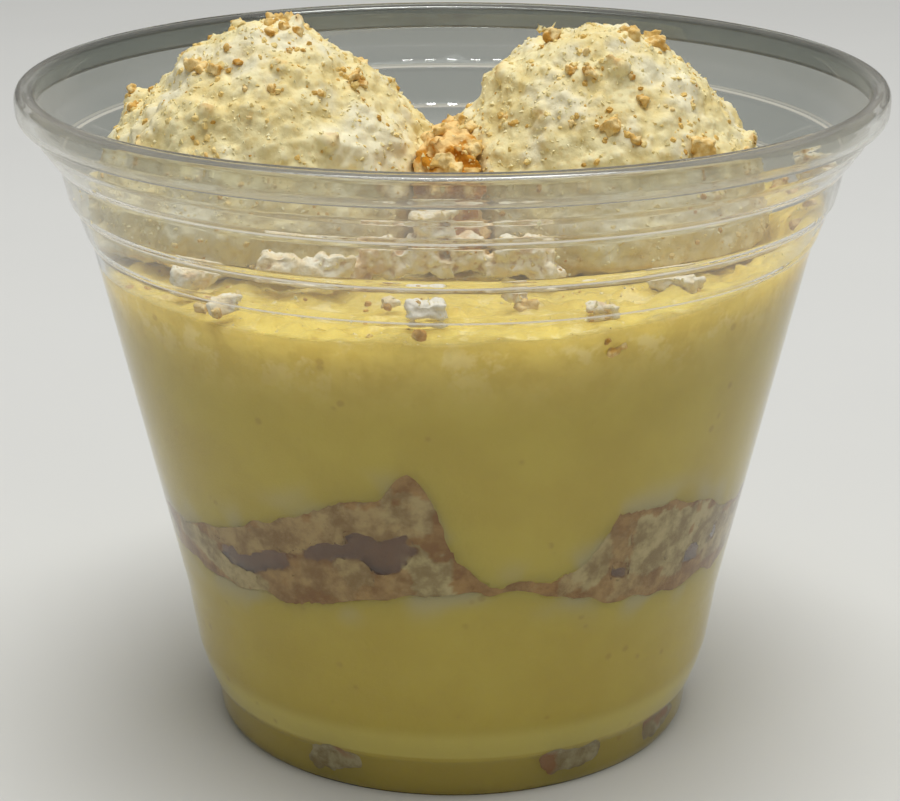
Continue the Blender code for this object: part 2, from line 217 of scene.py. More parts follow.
print("shader helpers ready")

# %% [markdown]
# The cup is thin clear plastic, turned about one axis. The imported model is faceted, so its
# half-section is read back from the mesh, its corners are rounded as a mould leaves them, and a Screw
# modifier turns it again in fine steps. Reading the section keeps the cup's size exactly.

# %% Section of the cup
def section_of(obj):
    """The closed half-section of a turned mesh, as (radius, height) from the axis to the axis."""
    shape = bmesh.new()
    shape.from_mesh(obj.data)
    bmesh.ops.remove_doubles(shape, verts=shape.verts, dist=0.001 * MM)
    flat = 0.002 * MM
    chosen = {v for v in shape.verts if abs(v.co.y) < flat and v.co.x > flat}
    links = {v: [e.other_vert(v) for e in v.link_edges if e.other_vert(v) in chosen] for v in chosen}
    ends = sorted((v for v in chosen if len(links[v]) == 1), key=lambda v: v.co.z)
    chain, previous, current = [], None, ends[0]
    while current is not None:
        chain.append((current.co.x, current.co.z))
        onward = [v for v in links[current] if v is not previous]
        previous, current = current, (onward[0] if onward else None)
    shape.free()
    return [(0.0, chain[0][1])] + chain + [(0.0, chain[-1][1])]


cup_section = section_of(nodes["cup"])
print("points of the section:", len(cup_section))

# %% [markdown]
# A moulded edge is never sharp, and a sharp one would catch no light. A bevel would round the turned
# mesh too, but rounding the outline first keeps its faces in clean rings. Each corner becomes a short
# curve, and the Screw modifier merges the outline's ends on the axis.

# %% Turn the cup
CORNER_REACH = 0.32 * MM
TURN_STEPS = 240


def round_corners(points, reach, cuts=3):
    """The same open outline with each corner replaced by a short curve."""
    outline = [Vector(p) for p in points]
    rounded = [outline[0]]
    for before, corner, after in zip(outline, outline[1:], outline[2:]):
        start = corner + (before - corner).normalized() * min(reach, (before - corner).length * 0.45)
        end = corner + (after - corner).normalized() * min(reach, (after - corner).length * 0.45)
        for cut in range(cuts + 1):
            share = cut / cuts
            rounded.append(start * (1 - share) ** 2 + corner * 2 * share * (1 - share) + end * share**2)
    return rounded + [outline[-1]]


def plain_mesh(obj, name):
    """The object's evaluated mesh as new data, with the modifiers' work in it."""
    bpy.context.view_layer.update()
    graph = bpy.context.evaluated_depsgraph_get()
    mesh = bpy.data.meshes.new_from_object(obj.evaluated_get(graph))
    mesh.name = name
    bpy.data.objects.remove(obj)
    return mesh


def add_piece(name, mesh):
    piece = bpy.data.objects.new(name, mesh)
    bpy.context.scene.collection.objects.link(piece)
    return piece


def turned(name, outline, steps):
    """A mesh turned about Z from an outline that runs down its outer side."""
    mesh = bpy.data.meshes.new(name)
    rows = [(p[0], 0, p[1]) for p in outline]
    mesh.from_pydata(rows, [(n, n + 1) for n in range(len(rows) - 1)], [])
    blank = add_piece(name, mesh)
    screw = blank.modifiers.new("turn", "SCREW")
    screw.steps = screw.render_steps = steps
    screw.use_merge_vertices = True
    screw.merge_threshold = 0.00001
    screw.use_smooth_shade = True
    return plain_mesh(blank, name)


fine_section = round_corners(cup_section, CORNER_REACH)
cup = add_piece("clear_cup", turned("clear_cup", reversed(fine_section), TURN_STEPS))
print("cup faces:", len(cup.data.polygons))

# %% [markdown]
# The food has to meet the cup, so its wall and floor are also needed as numbers. They are read from
# the same half-section: the wall's inner face as a radius at each height, and the floor's upper face
# as a height at each radius.

# %% Where the wall and the floor are
WALL = 0.5 * MM
LIP_START = next(n for n, p in enumerate(cup_section) if p[1] > 70 * MM)
outer_side = [p for p in cup_section[:LIP_START] if p[0] > 25 * MM]
inner_floor = [p for p in cup_section[-5:] if p[1] < 3 * MM][::-1]


def inner_wall(height):
    """Radius of the wall's inner face at a height."""
    heights = [p[1] for p in outer_side]
    radii = [p[0] for p in outer_side]
    return np.interp(height, heights, radii) - WALL


def floor_top(radius):
    """Height of the cup floor's upper face at a radius."""
    return np.interp(radius, [p[0] for p in inner_floor], [p[1] for p in inner_floor])


print("inner radius at 30 and 60 mm:", [round(float(inner_wall(z * MM)) / MM, 1) for z in (30, 60)])

# %% [markdown]
# The food is soft and fills the cup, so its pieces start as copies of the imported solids. A voxel
# remesh gives each copy small even faces and a smoothing pass takes off the facets. Points that come
# near the wall are pressed a little way into the plastic, because a thin film of air there would
# shine like a mirror. Grainy lumps come from cell noise and soft waves from Perlin noise.

# %% Helpers for soft food
PRESS_DEPTH = 0.2 * MM
PRESS_FROM = 1.7 * MM
PRESS_TO = 1.0 * MM
STRETCH_FROM = 3.6 * MM
FOOD_FLOOR = 2.15 * MM
GROOVE_RADIUS = 25.6 * MM


def mesh_of(shape, name):
    """The bmesh as new mesh data. The bmesh is freed."""
    mesh = bpy.data.meshes.new(name)
    shape.to_mesh(mesh)
    shape.free()
    return mesh


def joined(meshes, name, reach=0.0001 * MM):
    """One mesh from several, with the points that lie within reach merged."""
    shape = bmesh.new()
    for mesh in meshes:
        shape.from_mesh(mesh)
    bmesh.ops.remove_doubles(shape, verts=shape.verts, dist=reach)
    return mesh_of(shape, name)


def merged_copy(names):
    """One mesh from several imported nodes, with their loose triangles merged."""
    return joined([nodes[name].data for name in names], names[0], 0.001 * MM)


def softened(mesh, rounds):
    """The mesh after some rounds of smoothing, as new data."""
    blank = add_piece("blank", mesh)
    soften = blank.modifiers.new("soften", "SMOOTH")
    soften.factor = 0.5
    soften.iterations = rounds
    return plain_mesh(blank, mesh.name)


def even_faces(mesh, voxel, rounds):
    """The mesh with small faces of one size, smoothed a little."""
    blank = add_piece("blank", mesh)
    remesh = blank.modifiers.new("even faces", "REMESH")
    remesh.mode = "VOXEL"
    remesh.voxel_size = voxel
    return softened(plain_mesh(blank, mesh.name), rounds)


def points_of(mesh):
    places = np.empty(len(mesh.vertices) * 3, np.float32)
    mesh.vertices.foreach_get("co", places)
    return places.reshape(-1, 3).astype(float)


def set_points(mesh, places):
    mesh.vertices.foreach_set("co", places.astype(np.float32).ravel())
    mesh.update()


def normals_of(mesh):
    found = np.empty(len(mesh.vertices) * 3, np.float32)
    mesh.vertex_normals.foreach_get("vector", found)
    return found.reshape(-1, 3).astype(float)


def smooth_step(value, low, high):
    share = np.clip((value - low) / (high - low), 0, 1)
    return share * share * (3 - 2 * share)


def keep_number(mesh, name, values):
    """Stores one number for each point of the mesh."""
    kept = mesh.attributes.new(name, "FLOAT", "POINT")
    kept.data.foreach_set("value", np.asarray(values, np.float32))


def radius_of(places):
    return np.hypot(places[:, 0], places[:, 1])


def angle_of(places):
    """Degrees round the cup: 0 at the front, and more to the right."""
    return np.degrees(np.arctan2(places[:, 0], -places[:, 1]))


def with_radius(places, radius):
    scale = radius / np.maximum(radius_of(places), 1e-9)
    return places * np.stack([scale, scale, np.ones_like(scale)], axis=1)


def press_to_cup(places):
    """Moves the points near the wall or the floor a little way into the plastic."""
    radius = radius_of(places)
    wall = inner_wall(places[:, 2])
    share = smooth_step(radius, wall - PRESS_FROM, wall - PRESS_TO)
    low = np.clip((STRETCH_FROM - places[:, 2]) / (STRETCH_FROM - FOOD_FLOOR), 0, 1)
    bottom = floor_top(np.minimum(radius + share * PRESS_TO, GROOVE_RADIUS)) - PRESS_DEPTH
    places[:, 2] += low * (bottom - places[:, 2])
    wall = inner_wall(places[:, 2])
    return with_radius(places, radius + share * (wall + PRESS_DEPTH - radius))


def waves(places, size, seed):
    """Smooth noise from about -1 to 1 at each point."""
    shift = Vector((seed * 3.7, seed * 1.9, seed * 5.3))
    return np.array([noise.noise(Vector(p) / size + shift) for p in places])


def grains(places, size, seed):
    """Rounded grains, from 0 between them to about 1 at their tops."""
    shift = Vector((seed * 2.3, seed * 4.1, seed * 0.7))
    found = [noise.voronoi(Vector(p) / size + shift)[0][0] for p in places]
    return 1 - np.clip(np.array(found) * 1.4, 0, 1)


def ruffled(mesh, wave_steps, grain_steps, seed):
    """Moves the free points along their normals by waves and grains of the given (size, height)."""
    places = points_of(mesh)
    move = np.zeros(len(places))
    for number, (size, height) in enumerate(wave_steps):
        move += height * waves(places, size, seed + number)
    for number, (size, height) in enumerate(grain_steps):
        move += height * (grains(places, size, seed + number) - 0.4)
    wall = inner_wall(places[:, 2])
    free = 1 - smooth_step(radius_of(places), wall - 1.4 * MM, wall - 0.8 * MM)
    set_points(mesh, press_to_cup(places + normals_of(mesh) * (move * free)[:, None]))
    mesh.shade_smooth()
    return mesh


def proud_of(mesh, rounds):
    """How far each point stands out of a much smoother copy, in millimetres."""
    smoother = softened(mesh.copy(), rounds)
    away = points_of(mesh) - points_of(smoother)
    return (away * normals_of(smoother)).sum(axis=1) / MM


def keep_ridge(mesh, rounds, height):
    """Stores how ridged each point is: 1 on a ridge and 0 in a pit of that height in millimetres."""
    keep_number(mesh, "ridge", np.clip(proud_of(mesh, rounds) / height, -1, 1) * 0.5 + 0.5)


print("soft food helpers ready")

# %% [markdown]
# Both layers of custard meet the wall, and between them runs a ragged band of wafer. Where the band
# starts and ends at the wall was read from the photograph all along the front, as heights at a few
# angles round the cup, and is carried on round the back in the same way. The custard's own edge is
# found from its points, and the points near it slide up or down until it follows that line.

# %% Custard layers
LOWER_EDGE = (  # degrees round the cup, and height in mm
    (-160, 23.5), (-120, 22.5), (-65, 23.2), (-47, 22.6), (-30, 23.0), (-19, 24.4), (-9.5, 25.4),
    (4, 25.9), (9, 26.0), (20, 25.0), (29, 23.1), (45, 22.0), (64, 21.6), (78, 22.6), (110, 24.0),
    (150, 22.8),
)
UPPER_EDGE = (
    (-170, 31.5), (-145, 28.8), (-120, 30.5), (-90, 27.5), (-60, 27.3), (-43, 29.9), (-27, 33.6),
    (-15, 36.0), (-7.5, 36.6), (-5, 35.6), (-3.2, 33.2), (-0.5, 29.7), (4, 26.9), (8.5, 26.2),
    (16, 26.3), (20, 26.6), (25, 27.6), (28, 30.2), (30, 33.0), (42, 32.8), (50, 32.2), (58, 29.8),
    (68, 28.3), (95, 29.5), (120, 32.5), (150, 29.0),
)
EDGE_BIN = 4
EDGE_REACH = 1.6 * MM
LOWER_VOXEL = 0.55 * MM
UPPER_VOXEL = 0.5 * MM
FOOT_RING_INNER = 15 * MM
CUSTARD_WAVES = ((7 * MM, 0.7 * MM), (3 * MM, 0.35 * MM), (1.3 * MM, 0.12 * MM))
EDGE_WOBBLE = 0.7 * MM


def edge_at(edge, angle):
    """Height of an edge line at angles round the cup, in metres."""
    return np.interp(angle, [a for a, z in edge], [z * MM for a, z in edge], period=360)


def own_edge(places, pick):
    """The layer's own edge at the wall: the pick (min or max) of height in each bin of angle."""
    near = radius_of(places) > inner_wall(places[:, 2]) - EDGE_REACH
    bins = np.round(angle_of(places) / EDGE_BIN).astype(int)
    found = []
    for number in range(-180 // EDGE_BIN, 180 // EDGE_BIN):
        heights = places[near & (bins == number), 2]
        if len(heights):
            found.append((number * EDGE_BIN, pick(heights) / MM))
    return found


def move_edge(mesh, edge, pick):
    """Slides the layer's edge at the wall to the given line."""
    places = points_of(mesh)
    angle = angle_of(places)
    own = edge_at(own_edge(places, pick), angle)
    away = np.abs(places[:, 2] - own)
    wall = inner_wall(places[:, 2])
    near = smooth_step(radius_of(places), wall - 7 * MM, wall - 3 * MM)
    line = edge_at(edge, angle) + EDGE_WOBBLE * waves(places * (1, 1, 0), 2.5 * MM, 15)
    places[:, 2] += (line - own) * near * (1 - smooth_step(away, 1 * MM, 9 * MM))
    set_points(mesh, places)


def foot_ring():
    """Custard round the foot of the cup, which closes the hollows of the sunk wafers at the wall."""
    heights = np.linspace(1.9, 10.0, 18) * MM
    side = [(float(inner_wall(z)) - 0.4 * MM, z) for z in heights]
    low_corner, high_corner = (FOOT_RING_INNER, heights[0]), (FOOT_RING_INNER, heights[-1])
    return turned("foot_ring", [low_corner] + side + [high_corner, low_corner], 144)


def lumpy_top(mesh):
    """Adds the lumps and pits of spooned custard where the layer faces up, clear of the wall."""
    places = points_of(mesh)
    normals = normals_of(mesh)
    open_top = smooth_step(normals[:, 2], 0.3, 0.8) * smooth_step(places[:, 2], 50 * MM, 52 * MM)
    open_top *= smooth_step(inner_wall(places[:, 2]) - radius_of(places), 0.4 * MM, 2.5 * MM)
    lumps = 0.8 * (grains(places, 3.4 * MM, 16) - 0.45) + 0.5 * (grains(places, 1.7 * MM, 17) - 0.4)
    set_points(mesh, places + normals * (open_top * lumps * MM)[:, None])
    return mesh


low_parts = joined([merged_copy(["pudding_lower"]), foot_ring()], "custard_lower")
custard_low_mesh = even_faces(low_parts, LOWER_VOXEL, 3)
move_edge(custard_low_mesh, LOWER_EDGE, np.max)
custard_high_mesh = even_faces(merged_copy(["pudding_upper"]), UPPER_VOXEL, 4)
move_edge(custard_high_mesh, UPPER_EDGE, np.min)
custard_low = add_piece("custard_lower", ruffled(custard_low_mesh, CUSTARD_WAVES, (), 1))
custard_high = add_piece("custard_upper", lumpy_top(ruffled(custard_high_mesh, CUSTARD_WAVES, (), 2)))
for piece in (custard_low, custard_high):
    print(piece.name, "faces:", len(piece.data.polygons))

# %% [markdown]
# The band is real rubble: broken wafers lie in brown mush, and air pockets are left between them.
# Painting it on a smooth ring would look flat through clear plastic, so each broken piece is a small
# rough block that is set against the wall, the long ones in front where the photograph has them and
# the rest by chance. One voxel remesh joins them all, and whatever reaches past the wall is pressed
# flat against it, as soft wafer is. Each point remembers how toasted its own piece is.

# %% Band of broken wafers
CHUNKS = (  # angle, height, width, tall, tilt in degrees, toasted share
    (-46, 28.9, 5.0, 2.2, 10, 0.5), (-38, 29.6, 8.0, 3.0, 16, 0.5), (-27, 31.8, 8.0, 4.0, 18, 0.55),
    (-15, 34.2, 8.5, 4.2, 12, 0.45), (-7.5, 35.4, 4.0, 3.4, -8, 0.3),
    (-57, 26.2, 6.0, 2.0, -8, 0.1), (-50, 24.8, 7.0, 2.0, -20, 0.1), (-41, 23.9, 5.0, 2.0, -12, 0.15),
    (-33, 24.6, 4.6, 2.8, 20, 0.7), (-27, 24.0, 4.0, 1.8, -8, 0.85), (-23, 26.2, 4.6, 2.8, -8, 0.6),
    (-17.5, 27.6, 3.0, 3.0, 12, 0.35), (-13, 26.4, 3.8, 2.8, 10, 0.75),
    (-8.5, 26.6, 3.0, 3.0, 30, 0.65), (-4.3, 28.2, 3.8, 5.2, 8, 0.0),
    (-4.6, 26.0, 3.0, 1.8, -4, 0.1), (1.8, 27.0, 2.8, 1.9, -45, 0.9),
    (6.0, 26.2, 3.0, 0.9, -5, 0.9), (12, 26.0, 3.4, 0.9, 0, 0.8), (17, 26.0, 3.0, 1.1, 5, 0.95),
    (22, 26.2, 2.8, 1.8, 25, 0.4), (26, 27.0, 3.2, 2.8, 48, 0.1), (28.5, 24.9, 3.2, 2.6, 10, 0.75),
    (27.4, 29.6, 2.0, 3.6, 20, 0.15), (31.5, 29.8, 2.6, 6.4, 4, 0.65),
    (38, 29.4, 4.6, 8.0, -6, 0.05), (46, 29.0, 5.8, 7.0, -16, 0.0), (55, 28.0, 4.8, 5.0, -20, 0.05),
    (34, 24.6, 3.8, 2.2, 6, 0.5), (40, 24.0, 4.6, 2.2, 8, 0.7), (46, 24.6, 3.4, 1.8, -6, 0.1),
    (52, 23.2, 4.4, 2.0, -8, 0.8), (66, 25.8, 6.0, 4.0, -12, 0.15), (60, 24.4, 4.0, 1.8, 4, 0.3),
)
CHUNK_DEPTH = 3.2 * MM
CHUNK_INSET = 0.9 * MM
MUSH_COLUMNS = 288
MUSH_ROWS = 30
MUSH_OVERLAP = 3.6 * MM
MUSH_THICKNESS = 6 * MM
FLUSH_DEPTH = 0.9 * MM
BAND_VOXEL = 0.4 * MM
MUSH_TOAST = 0.85
TOAST_REACH = 1.35
BACK_CHUNKS = 34
BACK_START = 74
BACK_SPAN = 212
BACK_TOASTS = (0.0, 0.1, 0.2, 0.7)
BLOCK_SEED = 1  # without a seed, noise_vector would start from the clock and differ in each run
rng = random.Random(11)
noise.seed_set(BLOCK_SEED)


def rough_block(sizes, seed, cuts=5):
    """A block with broken faces, as a bmesh centred on the origin."""
    block = bmesh.new()
    bmesh.ops.create_cube(block, size=1)
    bmesh.ops.subdivide_edges(block, edges=block.edges, cuts=cuts, use_grid_fill=True)
    shift = Vector((seed * 1.3, seed * 2.9, seed * 0.7))
    taper = noise.noise_vector(shift * 3.1) * 0.9
    for corner in block.verts:
        rounder = 1 - 0.3 * (corner.co.length - 0.5)
        narrow = 1 + taper.x * corner.co.z, 1 + taper.y * corner.co.x, 1 + taper.z * corner.co.x
        corner.co = Vector(c * s * n * rounder for c, s, n in zip(corner.co, sizes, narrow))
        corner.co += noise.noise_vector(corner.co / (2.6 * MM) + shift) * 0.3 * min(sizes)
        corner.co += noise.noise_vector(corner.co / (1.1 * MM) + shift) * 0.1 * min(sizes)
    return block


def wall_block(angle, height, width, tall, tilt, seed):
    """A rough block set against the wall, with its centre."""
    block = rough_block((width * MM, CHUNK_DEPTH, tall * MM), seed)
    reach = float(inner_wall(height * MM)) - CHUNK_INSET
    turn = Matrix.Rotation(math.radians(angle), 4, "Z")
    turn = turn @ Matrix.Translation((0, -reach, height * MM))
    turn = turn @ Matrix.Rotation(math.radians(-tilt), 4, "Y")
    bmesh.ops.transform(block, matrix=turn, verts=block.verts)
    return block, turn


def mush_ring():
    """The mush behind the broken pieces, a little inside the wall."""
    columns = np.linspace(-180, 180, MUSH_COLUMNS, endpoint=False)
    low = edge_at(LOWER_EDGE, columns) - MUSH_OVERLAP
    high = edge_at(UPPER_EDGE, columns) + MUSH_OVERLAP
    rows = []
    turn = np.radians(columns)
    nearby = [columns + degrees for degrees in (-3, 0, 3)]
    lowest = np.max([edge_at(LOWER_EDGE, angle) for angle in nearby], axis=0)
    highest = np.min([edge_at(UPPER_EDGE, angle) for angle in nearby], axis=0)
    for row in range(MUSH_ROWS):
        height = low + (high - low) * row / (MUSH_ROWS - 1)
        wall = inner_wall(height)
        side = np.stack([wall * np.sin(turn), -wall * np.cos(turn), height], axis=1)
        inside = smooth_step(np.minimum(height - lowest, highest - height), 0.4 * MM, 2.6 * MM)
        depth = (1.5 + 1.9 * waves(side, 5 * MM, 21)) * MM * inside
        rows.append(with_radius(side, wall - np.maximum(depth, 0) + 0.1 * MM + 0.8 * MM * (1 - inside)))
    first, last = [with_radius(row, radius_of(row) - MUSH_THICKNESS) for row in (rows[0], rows[-1])]
    points = np.concatenate([first] + rows + [last])
    faces = []
    for row in range(MUSH_ROWS + 1):
        for column in range(MUSH_COLUMNS):
            onward = (column + 1) % MUSH_COLUMNS
            start = row * MUSH_COLUMNS
            upper = start + MUSH_COLUMNS
            faces.append((start + column, start + onward, upper + onward, upper + column))
    faces.append(tuple(range(MUSH_COLUMNS))[::-1])
    faces.append(tuple(range(len(points) - MUSH_COLUMNS, len(points))))
    mesh = bpy.data.meshes.new("mush")
    mesh.from_pydata([tuple(p) for p in points], [], faces)
    return mesh


def chance_chunks():
    """Broken pieces for the sides and the back, between the two edges."""
    made = []
    for step in range(BACK_CHUNKS):
        angle = BACK_START + step * BACK_SPAN / (BACK_CHUNKS - 1) + rng.uniform(-3, 3)
        turn = [(angle + 180) % 360 - 180]
        low, high = (float(edge_at(edge, turn)[0]) / MM for edge in (LOWER_EDGE, UPPER_EDGE))
        height = rng.uniform(low + 1.2, high - 1.0)
        width, tall = rng.uniform(3, 8), rng.uniform(1.6, 3.8)
        made.append((angle, height, width, tall, rng.uniform(-25, 25), rng.choice(BACK_TOASTS)))
    return made


def build_band():
    rubble = bmesh.new()
    rubble.from_mesh(mush_ring())
    frames = []
    chunks = CHUNKS + tuple(chance_chunks())
    for number, (angle, height, width, tall, tilt, toast) in enumerate(chunks):
        block, turn = wall_block(angle, height, width, tall, tilt, number)
        frames.append((turn.inverted(), (width * MM / 2, CHUNK_DEPTH / 2, tall * MM / 2), toast))
        scrap = mesh_of(block, "scrap")
        rubble.from_mesh(scrap)
        bpy.data.meshes.remove(scrap)
    return even_faces(mesh_of(rubble, "crumbled_wafers"), BAND_VOXEL, 1), frames


def nearest_toast(places, frames):
    """The toasted share of the piece that each point belongs to, or that of the mush."""
    best = np.full(len(places), TOAST_REACH)
    toast = np.full(len(places), MUSH_TOAST)
    for inverse, half, share in frames:
        local = np.c_[places, np.ones(len(places))] @ np.array(inverse).T
        reach = np.abs(local[:, :3] / half).max(axis=1)
        closer = reach < best
        best[closer] = reach[closer]
        toast[closer] = share
    return toast


band_mesh, chunk_frames = build_band()
places = points_of(band_mesh)
move = 0.35 * MM * waves(places, 1.8 * MM, 31) + 0.5 * MM * (grains(places, 1.3 * MM, 32) - 0.35)
move += 0.2 * MM * (grains(places, 0.65 * MM, 33) - 0.4)
places = places + normals_of(band_mesh) * move[:, None]
keep_number(band_mesh, "toast", nearest_toast(places, chunk_frames))
wall = inner_wall(places[:, 2])
places = with_radius(places, np.minimum(radius_of(places), wall + PRESS_DEPTH * 0.8))
# The depth behind the wall is kept and the pockets are then pressed nearly flush, so that the finish
# paints their shade.
depth = wall - radius_of(places)
keep_number(band_mesh, "depth", depth / MM)
outward = PRESS_DEPTH * 0.8 + np.minimum(depth, FLUSH_DEPTH)
outward += 0.45 * np.clip(depth - FLUSH_DEPTH, 0, 2 * MM)
outward *= 1 - smooth_step(depth, 4 * MM, 8 * MM)
places = with_radius(places, np.minimum(radius_of(places) + outward, wall + PRESS_DEPTH * 0.8))
set_points(band_mesh, places)
keep_ridge(band_mesh, 8, 0.1)
band_mesh.shade_smooth()
wafer_band = add_piece("crumbled_wafers", band_mesh)
print("band faces:", len(band_mesh.polygons), "pieces:", len(chunk_frames))

# %% [markdown]
# The scoops are whipped cream rolled in crushed wafer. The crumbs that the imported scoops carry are
# kept: each point remembers how far it stands out of a much smoother copy, and the finish turns the
# proud ones golden. Cell noise then curdles the cream between them.

# %% Scoops of cream
CREAM_VOXEL = 0.3 * MM
CREAM_WAVES = ((6 * MM, 0.8 * MM), (2.8 * MM, 0.6 * MM), (1.4 * MM, 0.25 * MM))
CREAM_GRAINS = ((1.6 * MM, 0.4 * MM), (0.8 * MM, 0.22 * MM))
CRUMB_KEPT = 0.45
SKIRT_TOP = 58 * MM
SKIRT_DROP = 1.8 * MM


def sink_crumbs(mesh):
    """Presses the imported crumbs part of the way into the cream, and stores where they are."""
    proud = proud_of(mesh, 160)
    keep_number(mesh, "crumb", smooth_step(proud, 0.3, 0.6))
    sunk = np.maximum(proud, 0) * (1 - CRUMB_KEPT) * MM
    set_points(mesh, points_of(mesh) - normals_of(mesh) * sunk[:, None])


def lean_and_taper(mesh, middle, taper, lean):
    """Narrows the scoop's crown about its middle and leans it sideways, then seats its skirt."""
    places = points_of(mesh)
    crown = smooth_step(places[:, 2], 67 * MM, 78 * MM)
    places[:, 0] = middle + (places[:, 0] - middle) * (1 - taper * crown) + lean * crown
    skirt = np.clip((SKIRT_TOP - places[:, 2]) / (4 * MM), 0, 1)
    places[:, 2] -= SKIRT_DROP * skirt
    set_points(mesh, places)


def build_cream(name, node, seed, middle, taper, lean):
    mesh = even_faces(merged_copy([node]), CREAM_VOXEL, 2)
    sink_crumbs(mesh)
    lean_and_taper(mesh, middle, taper, lean)
    ruffled(mesh, CREAM_WAVES, CREAM_GRAINS, seed)
    keep_ridge(mesh, 10, 0.14)
    return add_piece(name, mesh)


cream_left = build_cream("whipped_cream_left", "cream_left", 41, -19.5 * MM, 0.28, 0.2 * MM)
cream_right = build_cream("whipped_cream_right", "cream_right", 47, 16.0 * MM, 0.06, -1.4 * MM)
print("cream faces:", len(cream_left.data.polygons), len(cream_right.data.polygons))

# %% [markdown]
# Loose broken wafers lie on the custard between the scoops and the wall, some have sunk to the foot
# of the cup, and a heap of amber crumbs fills the dip between the scoops. All are copies of their
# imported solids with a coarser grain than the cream.

# %% Loose wafers and the crumb heap
WAFER_WAVES = ((2.4 * MM, 0.35 * MM),)
WAFER_GRAINS = ((1.6 * MM, 0.5 * MM), (0.8 * MM, 0.35 * MM))
HEAP_GRAINS = ((1.9 * MM, 0.8 * MM), (1.0 * MM, 0.45 * MM))
GRAIN_VOXEL = 0.22 * MM
SUNK_VOXEL = 0.25 * MM
SWOLLEN_VOXEL = 0.34 * MM
SUNK_SWELL = 1.9 * MM
WHITE_PIECE = (-2.6 * MM, -33.6 * MM, 56 * MM)
top_names = [f"top_wafer_{n}" for n in range(1, 11)] + ["side_wafer"]
base_names = [f"base_wafer_{n}" for n in range(1, 8)]

SHELF_BITS = (  # centre x, y, height, then width, depth and height, turn in degrees
    (-1.7, -16.8, 60.0, 4.4, 3.0, 2.6, 12), (-5.2, -17.2, 55.9, 2.6, 3.0, 2.6, 30),
    (-0.6, -17.6, 55.7, 2.4, 2.6, 2.4, -20), (4.4, -17.4, 55.9, 3.0, 2.6, 2.2, 15),
    (9.6, -18.6, 55.4, 3.2, 2.4, 2.0, -25), (-9.8, -18.4, 55.5, 3.0, 2.4, 2.0, 40),
    (-17.6, -20.0, 56.4, 4.0, 3.0, 2.6, -10), (-12.0, -19.6, 56.2, 3.4, 3.0, 2.4, 20),
    (6.4, -25.6, 55.2, 2.8, 2.2, 1.6, 35), (22.0, -23.0, 55.6, 5.0, 2.6, 1.8, -35),
    (13.5, -30.5, 55.0, 1.8, 1.6, 1.3, 10), (15.2, -31.0, 55.0, 1.4, 1.4, 1.2, 60),
    (-21.5, -28.5, 55.2, 2.4, 1.8, 1.4, -15), (-6.0, -28.0, 54.9, 1.6, 1.4, 1.0, 25),
)


def shelf_rubble():
    """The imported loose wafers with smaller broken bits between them."""
    meshes = [merged_copy(top_names)]
    for number, (x, y, z, width, depth, tall, turn) in enumerate(SHELF_BITS):
        block = rough_block((width * MM, depth * MM, tall * MM), 70 + number, 4)
        place = Matrix.Translation((x * MM, y * MM, z * MM))
        place = place @ Matrix.Rotation(math.radians(turn), 4, "Z")
        bmesh.ops.transform(block, matrix=place, verts=block.verts)
        meshes.append(mesh_of(block, "bit"))
    return joined(meshes, "loose_wafers")


top_mesh = ruffled(even_faces(shelf_rubble(), GRAIN_VOXEL, 1), WAFER_WAVES, WAFER_GRAINS, 51)
keep_ridge(top_mesh, 12, 0.14)
from_white = np.linalg.norm(points_of(top_mesh) - WHITE_PIECE, axis=1)
keep_number(top_mesh, "white", 1 - smooth_step(from_white, 3.2 * MM, 3.8 * MM))
wafers_top = add_piece("loose_wafers", top_mesh)
heap_mesh = even_faces(merged_copy(["crumb_heap"]), GRAIN_VOXEL, 1)
heap_mesh = ruffled(heap_mesh, (), HEAP_GRAINS, 57)
keep_ridge(heap_mesh, 12, 0.14)
heap = add_piece("amber_crumb_heap", heap_mesh)


def build_sunk_wafers():
    """The wafers in the foot fill their hollows and are pressed flat against the wall."""
    mesh = even_faces(merged_copy(base_names), SUNK_VOXEL, 2)
    set_points(mesh, points_of(mesh) + normals_of(mesh) * SUNK_SWELL)
    mesh = even_faces(mesh, SWOLLEN_VOXEL, 2)
    places = points_of(mesh)
    move = 0.9 * MM * waves(places, 2.6 * MM, 81) + 0.4 * MM * (grains(places, 1.4 * MM, 82) - 0.4)
    places = places + normals_of(mesh) * move[:, None]
    wall = inner_wall(places[:, 2])
    places = with_radius(places, np.minimum(radius_of(places), wall + PRESS_DEPTH * 1.5))
    places[:, 2] = np.maximum(places[:, 2], floor_top(radius_of(places)) - PRESS_DEPTH * 1.5)
    set_points(mesh, places)
    mesh.shade_smooth()
    return add_piece("sunk_wafers", mesh)


wafers_base = build_sunk_wafers()
for piece in (wafers_top, wafers_base, heap):
    print(piece.name, "faces:", len(piece.data.polygons))

# %% [markdown]
# Crushed wafer lies over everything on top. A crumb is far too small to place by hand, so Geometry
# Nodes scatters three rough grains over the carriers: more of them where the carrier's stored number
# "room" is high, each turned and sized by chance, with a shade of its own. The tree realizes its
# instances and sets the material, and its result is kept as a plain mesh of true size.

# %% Tree that scatters crumbs
CRUMB_INPUTS = (
    ("Geometry", "Geometry"), ("Per square metre", "Float"), ("Smallest", "Float"),
    ("Largest", "Float"), ("Sunk", "Float"), ("Seed", "Int"), ("Finish", "Material"),
)
GRAIN_SEEDS = (1.0, 4.3, 8.9)
FULL_TURN = (6.28, 6.28, 6.28)


